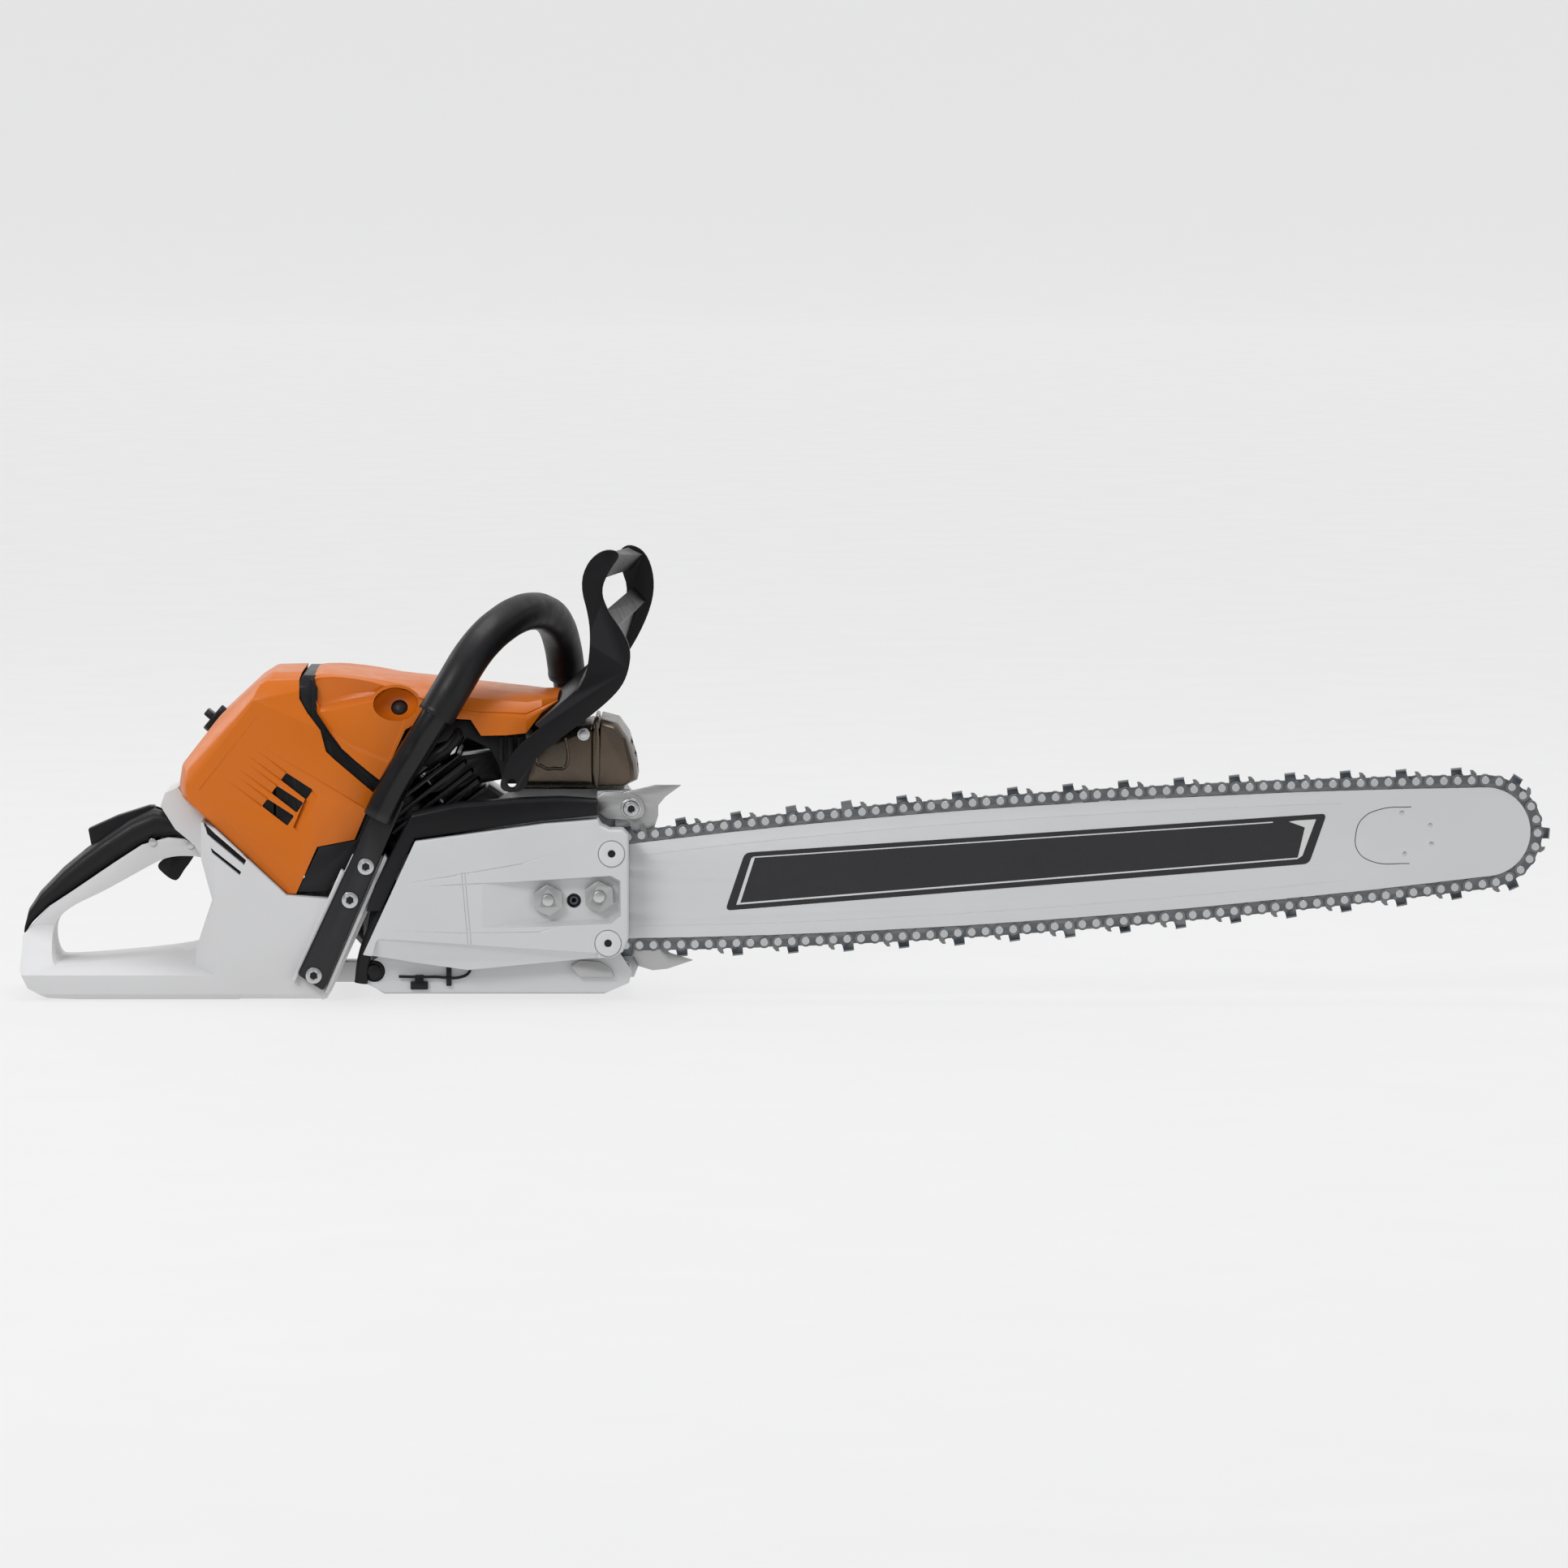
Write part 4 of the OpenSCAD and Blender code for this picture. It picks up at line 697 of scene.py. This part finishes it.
# The screws (x, z) in the handle's foot.
HANDLE_SCREWS = ((-62, 93), (-73, 70), (-98, 18))


def build_front_handle():
    """The front handle's pipe and its foot, with the rubber sleeve and a lip at each of its ends."""
    points = [at(*p) for p in HANDLE_PATH]
    pipe = tube("front_handle_piece", points, 10.4 * MM, 8, 12)
    foot_outline = [(-109.5, 18.5), (-91.5, 7), (-51, 101), (-35, 138), (-52, 141), (-58, 128)]
    foot = prism("handle_foot", soft(foot_outline, 2.5), -80, -72.1)
    bake(bevel(foot, 1.2, 3, 40))
    cut(foot, *[prism("hole", circle(x, z, 3.1, 24), -84, -66) for x, z in HANDLE_SCREWS])
    dress(pipe, "black_metal", replaces=("front_handle",), angle=40)
    dress(foot, "black_metal", angle=30)
    covered = points[3:13] + [at(72, 86.3, 212)]
    sleeve = tube("handle_sleeve_piece", covered, 13.0 * MM, 8, 14)
    dress(sleeve, "rubber", replaces=("handle_sleeve",), angle=40)
    for name, end, inner in (("sleeve_lip_low", covered[0], covered[1]),
                             ("sleeve_lip_high", covered[-1], covered[-2])):
        along = (inner - end).normalized()
        lip = tube(name, [end + along * 0.0005, end + along * 0.004], 13.2 * MM, 2, 14)
        bake(bevel(lip, 0.8, 2, 40))
        dress(lip, "rubber", angle=40)


# The rear grip's sections, each from its lower to its upper edge (x, z).
GRIP = [((-302, 40), (-301.2, 47)), ((-297, 47), (-299, 57)), ((-284, 59.5), (-291.5, 68.5)),
        ((-268, 70), (-275.5, 85)), ((-254, 79.5), (-261, 97)), ((-240, 89), (-246, 108)),
        ((-222, 100.5), (-229, 119)), ((-208, 106), (-212, 127)), ((-196, 106.8), (-203, 124)),
        ((-188, 105), (-198, 115.5)), ((-184, 102.5), (-190, 108))]


def build_rear_grip():
    """The rear grip: soft rings round its sections, with a slot for the trigger's interlock."""
    bm = bmesh.new()
    count = 28
    half = 18.4
    power = 0.62
    rings = []
    for low, high in GRIP:
        low, high = Vector(low), Vector(high)
        middle, reach = (low + high) / 2, (high - low) / 2
        ring = []
        for k in range(count):
            a = 2 * math.pi * k / count
            c, s = math.cos(a), math.sin(a)
            side = half * math.copysign(abs(c) ** power, c)
            up = math.copysign(abs(s) ** power, s)
            place = middle + reach * up
            ring.append(bm.verts.new(at(place.x, side, place.y)))
        rings.append(ring)
    for a, b in zip(rings, rings[1:]):
        for i in range(count):
            j = (i + 1) % count
            bm.faces.new((a[i], a[j], b[j], b[i]))
    bm.faces.new(rings[0])
    bm.faces.new(rings[-1])
    grip = from_bmesh("rear_grip_piece", bm)
    slot = [(-261, 84), (-261, 127), (-200, 136), (-180, 112), (-180, 90), (-226, 90)]
    cut(grip, prism("lock_slot", slot, -7, 7))
    dress(grip, "rubber", replaces=("rear_grip",), angle=50)


# ---------------------------------------------------------------- sprocket cover

# The sprocket cover's outline (x, z), and its nuts' places along the bar.
COVER_OUTLINE = [(-64, 33), (-28, 111), (60, 123), (97, 126), (99, 122), (105, 119), (114, 119), (118, 115),
                 (118, 44), (114, 35), (108, 31.5), (48, 26), (8, 22), (-27, 27)]
NUTS = ((63, "rear"), (98, "front"))


def build_sprocket_cover():
    """The sprocket cover: a lipped casting with a sloping field for the nuts, a lower flank and creases."""
    face = -90
    back = -65.6
    inner = [(-64, 33), (-28, 111), (60, 123), (97, 126), (98, 121), (104.5, 118), (113.5, 118), (117, 114.5),
             (117, 45), (113, 36), (107, 32.5), (48, 27), (8, 23), (-27, 28)]
    cover = solid("sprocket_cover_piece", [(COVER_OUTLINE, back), (COVER_OUTLINE, face + 1.4), (inner, face)])
    bevel(cover, 1.6, 4, 30)
    bake(cover)
    room = [(-55, 36), (-24, 105), (60, 117), (92, 119), (108, 112), (112, 100), (112, 48), (106, 38),
            (48, 31.5), (8, 28), (-26, 32)]
    cut(cover, prism("inside", room, back + 1, -77))
    # Sloping field for the nuts: level with the face at the rear, deepest at the front.
    field = [(18, 82), (106, 87.6), (112.5, 84), (112.8, 60), (106, 54.4), (60, 52.4), (18, 51)]
    floor = [(58, 82.6), (104, 85.4), (110.5, 82), (110.8, 61.5), (104.4, 57), (62, 56)]
    recess = convex("nut_field", [(field, face - 1.2), (field, face + 0.05), (floor, face + 9.2)])
    bake(bevel(recess, 1.6, 3, 20))
    # Lower flank that slopes in under a step.
    step = [(-53, 44.2), (10, 37.3), (48, 34.6), (90, 33.2), (97, 34.5)]
    flank = convex("flank", [(step + [(97, 20), (-60, 20)], face - 1), (step, face + 0.7),
                             ([(-66, 30), (8, 19), (97, 29)], face + 6.5)])
    # Creases: from and to (x, z), then width and depth at the start and depth at the end.
    runs = [((-6, 86.5), (-36, 82.2), 1.8, 0.7, 0.0), ((-6, 86.5), (46, 96), 1.8, 0.7, 0.4),
            ((46, 96), (96, 111.5), 1.4, 0.4, 0.0), ((3, 81.4), (-24, 79.8), 1.4, 0.7, 0.0),
            ((3, 81.4), (40, 83.2), 1.4, 0.7, 0.5), ((4, 47.8), (-46, 50), 1.4, 0.5, 0.0),
            ((4, 47.8), (58, 49), 1.4, 0.5, 0.3), ((58, 49), (78, 54.8), 1.2, 0.4, 0.0)]
    creases = [crease_cutter(p, q, width, depth, face, end_depth) for p, q, width, depth, end_depth in runs]
    seams = [prism("seam", [(x, 90), (x + 0.7, 90), (x + 5.4, 36), (x + 4.7, 36)], face - 1, face + 0.45)
             for x in (3.6, 5.8)]
    holes = []
    for u, _ in NUTS:
        centre = bar_at(u, 0, 0) / MM
        holes.append(prism("stud_hole", circle(centre.x, centre.z, 4.4, 32), -100, -60))
    tensioner = bar_at(80.5, 0, -2) / MM
    holes.append(prism("tension_hole", circle(tensioner.x, tensioner.z, 4.6, 32), -100, -60))
    pads = ((106.5, 102.5), (104, 41))
    sockets = [prism("pad_socket", circle(x, z, 9.4, 40), face - 1, face + 1.4) for x, z in pads]
    cut(cover, recess, flank, *creases, *seams, *holes, *sockets)
    dress(cover, "light_casting", replaces=("sprocket_cover",), angle=26)
    for k, (x, z) in enumerate(pads):
        disc(f"cover_pad_{k + 1}", x, z, 8.9, face + 1.6, face, 0.7, "light_plastic", hole=2.6)
        # Each pad's hole gets a near-black disc of painted shade inside it.
        pad_hole_shade = prism(f"pad_hole_{k + 1}", circle(x, z, 2.5, 24), face + 1.5, face + 1.2)
        dress(pad_hole_shade, HOLE_SHADE)
    disc("tensioner_screw", tensioner.x, tensioner.z, 3.4, -79.5, -77, 0.5, "dark_steel", hole=1.5)
    disc("tensioner_sleeve", tensioner.x, tensioner.z, 4.9, -81.2, -77, 0.3, "black_metal", hole=3.9)
    for u, name in NUTS:
        centre = bar_at(u, 0, 0) / MM
        disc(f"nut_boss_{name}", centre.x, centre.z, 12.6, -80.55, -78, 0.4, "light_casting", hole=4.6)


def build_brake_cover():
    """The black trim above the sprocket cover, with a chamfer along its top and a leg down to the rear."""
    outer = [(-56, 80), (-31, 130), (0, 136.4), (44, 139.6), (71, 140.6), (96, 139), (97, 138), (97, 128.2),
             (60, 124.6), (-28.6, 112), (-52, 62), (-62, 62)]
    face = [(-55.4, 80), (-30.4, 127.4), (0, 133.8), (44, 137.2), (71, 138.2), (95, 136.8), (95.6, 136.4),
            (95.8, 128.8), (60, 125.2), (-28.4, 112.8), (-51.6, 63), (-61.2, 63)]
    trim = solid("brake_cover_piece", [(outer, -66), (outer, -81.4), (face, -83.6)])
    bake(bevel(trim, 0.6, 2, 24))
    dress(trim, "black_plastic", BODY["brake_cover"], replaces=("brake_cover",), angle=26)
    lip_outline = [(-31, 122), (0, 130), (70, 134.6), (96, 134), (96, 137.4), (70, 138.6), (0, 134.4),
                   (-31, 127.6)]
    lip = prism("brake_cover_lip", lip_outline, -60, -67)
    bake(bevel(lip, 0.8, 2, 40))
    dress(lip, "black_plastic", BODY["brake_cover"])


# ---------------------------------------------------------------- guide bar


def groove_line(u):
    """Height above the bar's middle line of the line along its rail, which bows over the bar's length."""
    middle = 375
    bow = 6200 if u > middle else 4600
    return 39.6 - 8.5 - (u - middle) ** 2 / (2 * bow)


def build_bar_marks():
    """A plain dark panel with a pale border, the nose insert's joint and rivets, and the rails' lines."""
    face = -64.3
    outline = [(184, 61), (197.5, 101), (597, 128), (585, 93.3)]
    panel = prism("bar_panel", soft(outline, 4), face - 0.03, face - 0.16)
    dress(panel, INK)

    def stripe(name, points, look=PALE_INK):
        obj = prism(name, points, face - 0.17, face - 0.22)
        dress(obj, look)
    stripe("bar_stripe_low", [(194, 65.2), (577, 96.6), (577.2, 97.6), (194, 66.4)])
    stripe("bar_stripe_high", [(203, 97.4), (560, 121.6), (560, 122.4), (203, 98.2)])
    stripe("bar_stripe_rear", [(191.6, 65), (194, 65.2), (204.4, 97.6), (202, 97.4)])
    stripe("bar_stripe_front",
           [(577, 96.6), (580.4, 99), (589.6, 124), (576, 123.2), (571, 122.4), (582, 118.4)])
    joint = [(655, 132.6), (634, 131), (621.5, 124.5), (617, 114), (618.5, 102), (628, 95), (654, 93.4)]
    line = tube("nose_joint", [at(x, face + 0.02, z) for x, z in joint], 0.28 * MM, 8, 3)
    dress(line, "grey_plastic", angle=60)
    for k, (x, z) in enumerate(((648.5, 128.6), (650.5, 100.2), (668, 120), (669, 107))):
        disc(f"nose_rivet_{k + 1}", x, z, 1.7, face + 0.3, face - 0.12, 0.08, "bright_steel", count=24)
    for sign, name in ((1, "upper"), (-1, "lower")):
        points = [bar_at(u, -2.3, sign * groove_line(u)) for u in (122, 200, 290, 375, 460, 545, 610)]
        line = tube(f"bar_edge_line_{name}", points, 0.22 * MM, 6, 2)
        dress(line, "bar_paint", angle=60)


# ---------------------------------------------------------------- muffler


def build_muffler():
    """Two stamped shells with a raised bead, a rolled seam with a lug, and soft flutes on the front shell."""
    y0 = -46
    y1 = 40
    end = [(44, 146), (94, 146), (94, 184), (80, 182), (58, 173), (46, 166)]
    full = [(40, 144), (94, 144), (94, 188), (80, 186), (58, 177), (40, 168)]
    rear = convex("muffler_rear_piece", [(end, y0), (full, y0 + 6), (full, y1 - 6), (end, y1)])
    bake(bevel(rear, 3.0, 4, 16))
    dress(rear, "heated_steel", replaces=("muffler_rear_shell",), angle=40)
    slices = []
    for y, grow in ((y0, 0), (y0 + 4, 3), (y0 + 10, 5), (y1 - 10, 5), (y1 - 4, 3), (y1, 0)):
        base = 146 - 0.3 * grow
        outline = [(96, base), (114, base), (118.6 + grow, 149), (117.4 + grow, 160), (113 + grow * 0.8, 178),
                   (107 + 0.6 * grow, 185 + 0.6 * grow), (98, 187.5 + 0.7 * grow)]
        slices.append((outline, y))
    front = convex("muffler_front_piece", slices)
    bake(bevel(front, 3.4, 5, 12))
    flute_edge = [(121, 146), (127, 146), (121, 170), (116, 178)]
    flute_floor = [(119.5, 147), (127, 146), (121, 170), (114.6, 176)]
    for k in range(4):
        y = -30 + 19 * k
        flute = convex("flute", [(flute_edge, y - 3.4), (flute_floor, y), (flute_edge, y + 3.4)])
        bake(bevel(flute, 0.8, 2, 20))
        cut(front, flute)
    for z in (154, 162, 170):
        cut(front, prism("outlet", [(112, z), (130, z), (130, z + 3), (112, z + 3)], -4, 22))
    dress(front, "heated_steel", replaces=("muffler_front_shell",), angle=40)
    seam_outline = rounded([(92.6, 143.6), (97.6, 143.6), (97.6, 190.5), (92.6, 190.5)], 1)
    seam = prism("muffler_seam", seam_outline, y0 - 2.2, y1 + 2.2)
    bake(bevel(seam, 1.1, 3, 30))
    dress(seam, "heated_steel", angle=40)
    lug_outline = rounded([(93.2, 184), (97.2, 184), (98, 190), (97.4, 193.4), (95.6, 193.2), (93.6, 190)], 1)
    lug = prism("muffler_lug", lug_outline, y0 - 2.1, y0 + 5)
    bake(bevel(lug, 0.5, 2, 30))
    dress(lug, "heated_steel", angle=40)
    bead_path = ((74, 178.6), (75.6, 163), (73.2, 158), (66, 157.6), (61.6, 157.2), (58, 159), (55, 160.4),
                 (54, 165), (57, 171))
    bead = tube("muffler_bead", [at(x, y0 + 0.3 * (z > 176) + 0.1, z) for x, z in bead_path], 1.15 * MM, 8, 5)
    dress(bead, "heated_steel", angle=60)
    disc("muffler_bolt", 86.5, 181, 3.2, y0 + 2, y0 - 2.4, 0.4, "bright_steel", count=6)
    disc("muffler_bolt_flange", 86.5, 181, 4.4, y0 + 3, y0 - 0.5, 0.3, "bright_steel")


# ---------------------------------------------------------------- small visible pieces


def build_small_pieces():
    """Rims, clips, leads, ribs, screws and the strap, all on the saw's own body."""
    # Pale rims along both sides of the handle's foot, moulded on the rear housing.
    for name, pts in (("foot_rim_rear", [(-113.4, 14.5), (-111, 13.4), (-76.6, 88.5), (-79.4, 90.5)]),
                      ("foot_rim_front", [(-91.2, 5.4), (-88.6, 5.4), (-47.4, 98), (-49.4, 101)])):
        rim = prism(name, pts, -76.8, -66)
        bake(bevel(rim, 0.6, 2, 40))
        dress(rim, "light_plastic")
    # Clip and breather pipe under the sprocket cover.
    pipe = tube("breather_pipe",
                [at(-40, -74.6, 16.6), at(-30, -74.8, 16.4), at(-16, -74.8, 16.4), at(4.5, -74.8, 16.8),
                 at(8.5, -74.6, 20), at(9.3, -74, 25.5)],
                1.0 * MM, 8, 5)
    dress(pipe, "black_plastic", angle=60)
    for name, pts in (("breather_clip",
                       [(-32, 7.5), (-20, 7.5), (-20, 13), (-23, 13), (-23, 17.6), (-29, 17.6), (-29, 13),
                        (-32, 13)]),
                      ("breather_stop", [(-7.4, 10), (-3.8, 10), (-3.8, 23), (-7.4, 23)])):
        piece = prism(name, pts, -74.9, -71.6)
        bake(bevel(piece, 0.5, 2, 40))
        dress(piece, "black_plastic")
    # Metal clip on the plug lead, in front of the boot.
    clip = prism("lead_clip", [(-5.6, 166.5), (-1.8, 168), (1, 176), (-2.2, 176.6)], -48, -40)
    bake(bevel(clip, 0.8, 2, 40))
    dress(clip, "bright_steel")
    lead = tube("plug_lead", [at(-22, -38, 160), at(-14, -43, 166), at(-6, -44, 172), at(0, -43, 182),
                              at(-4, -38, 190)], 5.2 * MM, 8, 8)
    dress(lead, "rubber", angle=50)
    # Air baffle between the cylinder and the shroud, with upright ribs on its outer face.
    baffle = prism("cylinder_baffle",
                   soft([(-34, 172), (-23, 190), (8, 191), (15, 180.5), (46, 181), (52, 170), (48, 147),
                         (31, 147), (28, 160), (22, 171), (4, 180), (-16, 174)], 2),
                   -47, 47)
    bake(bevel(baffle, 1.5, 3, 40))
    dress(baffle, "black_plastic", angle=40)
    for k, (x, low) in enumerate(((28, 163), (34.5, 152), (41, 150))):
        outline = soft([(x, low), (x + 3.4, low - 1), (x + 3.4, 180), (x, 180)], 1.2)
        for side, name in SIDES:
            rib = prism(f"baffle_rib_{name}_{k + 1}", outline, side * 46, side * 50)
            bake(bevel(rib, 1.0, 3, 40))
            dress(rib, "black_plastic", angle=40)
    # Painted shade behind the collar's windows, for the dark depth inside them.
    for k, window in enumerate(([(-174, 122), (-172, 113), (-146, 92), (-143.5, 97)],
                                [(-169.5, 106), (-168.5, 100.5), (-149, 85), (-147, 89)])):
        shadow = prism(f"collar_shadow_{k + 1}", window, -64, -65)
        dress(shadow, HOLE_SHADE)
    # Ring round the spike's screw, a black ring of painted shade for the gap inside it, and near-black sheets
    # of painted shade in the sockets of the handle's and the spike's screws.
    disc("spike_screw_ring", 119.4, 131.2, 7.0, -61.2, -62.2, 0.4, "bright_steel", hole=5.4)
    disc("spike_screw_gap", 119.4, 131.2, 5.5, -61.2, -61.5, 0.05, "black_metal", hole=4.6)
    screws = [(x, z, -82.7, 2.5) for x, z in HANDLE_SCREWS] + [(119.5, 131, -63.7, 2.3)]
    points = 24
    for k, (x, z, face, r) in enumerate(screws):
        star = []
        for n in range(points):
            reach = r * (1 - 0.13 * math.cos(6 * 2 * math.pi * n / points))
            star.append(circle(x, z, reach, points)[n])
        # Each socket is a near-black sheet of painted shade.
        socket = prism(f"screw_socket_{k + 1}", star, face + 0.12, face - 0.04)
        dress(socket, HOLE_SHADE)
        disc(f"screw_bevel_{k + 1}", x, z, 4.2, face + 0.2, face - 0.18, 0.12, "bright_steel", hole=3.1)
    # Rubber strap between the housing and the case.
    strap = tube("buffer_strap", [at(-66, -73.4, 12), at(-63.5, -73.6, 30), at(-56, -73.6, 52),
                                  at(-49, -73.4, 70), at(-46, -73, 84)], 4.6 * MM, 8, 8)
    dress(strap, "rubber", angle=50)


build_front_handle()
build_rear_grip()
build_sprocket_cover()
build_brake_cover()
build_bar_marks()
build_muffler()
build_small_pieces()


# ---------------------------------------------------------------- stage


def area_light(name, place, aim, size, energy, tint=(1, 1, 1)):
    lamp = bpy.data.lights.new(name, "AREA")
    lamp.shape = "RECTANGLE"
    lamp.size, lamp.size_y = size
    lamp.energy = energy
    lamp.color = tint
    obj = link(bpy.data.objects.new(name, lamp))
    obj.location = place
    obj.rotation_euler = (Vector(aim) - Vector(place)).to_track_quat("-Z", "Y").to_euler()
    return obj


def backdrop():
    """A pale floor that curves up into a wall far behind."""
    bm = bmesh.new()
    drop = -0.0006
    bend = 3.0
    floor_end = 13.0
    steps = 12
    profile = [(-18, drop), (floor_end, drop)]
    for k in range(1, steps + 1):
        a = math.pi / 2 * k / steps
        profile.append((floor_end + bend * math.sin(a), bend + drop - bend * math.cos(a)))
    profile.append((floor_end + bend, 14))
    rows = [[bm.verts.new((x, y, z)) for y, z in profile] for x in (-20, 20)]
    for i in range(len(profile) - 1):
        bm.faces.new((rows[0][i], rows[1][i], rows[1][i + 1], rows[0][i + 1]))
    obj = from_bmesh("backdrop", bm)
    shade(obj, 60)
    paper = finish_of("pale_floor", (0.14, 0.14, 0.14), 0.7, grain=60, bump=0.01, vary=0.01, patch=2,
                      specular=0.1)
    glow_of = paper.node_tree.nodes["Principled BSDF"].inputs
    glow_of["Emission Color"].default_value = (1, 1, 1, 1)
    glow_of["Emission Strength"].default_value = 0.69
    obj.data.materials.append(paper)


backdrop()
area_light("key", (-1.4, -2.1, 2.0), (0.1, 0, 0.12), (1.3, 0.8), 37)
area_light("top", (0.4, 0.3, 2.6), (0.2, 0, 0.1), (2.4, 1.0), 31)
area_light("fill", (2.4, -2.2, 0.9), (0.2, 0, 0.15), (0.7, 1.4), 7)
area_light("rim", (-2.2, 1.6, 1.4), (0, 0, 0.15), (1.4, 1.4), 12)
world = bpy.data.worlds.new("studio")
world.use_nodes = True
sky = world.node_tree
direction = node(sky, "ShaderNodeTexCoord").outputs["Generated"]
across = node(sky, "ShaderNodeSeparateXYZ", {"Vector": direction})
glow = node(sky, "ShaderNodeMapRange", {"Value": across.outputs["Z"], "From Min": -0.1, "From Max": 0.9,
                                        "To Min": 0.17, "To Max": 0.70})
sky.nodes["Background"].inputs["Color"].default_value = (0.94, 0.95, 0.97, 1)
sky.links.new(glow.outputs[0], sky.nodes["Background"].inputs["Strength"])
bpy.context.scene.world = world
bpy.context.scene.view_settings.view_transform = "Standard"

camera = bpy.data.cameras.new("camera")
camera.sensor_width = 36
camera.lens = 201
camera.clip_end = 60
holder = link(bpy.data.objects.new("camera", camera))
elevation = math.radians(5)
target = Vector((0.2244, -0.072, 0.149))
distance = 6.0
holder.location = target + distance * Vector((0, -math.cos(elevation), math.sin(elevation)))
holder.rotation_euler = (math.pi / 2 - elevation, 0, 0)
bpy.context.scene.camera = holder
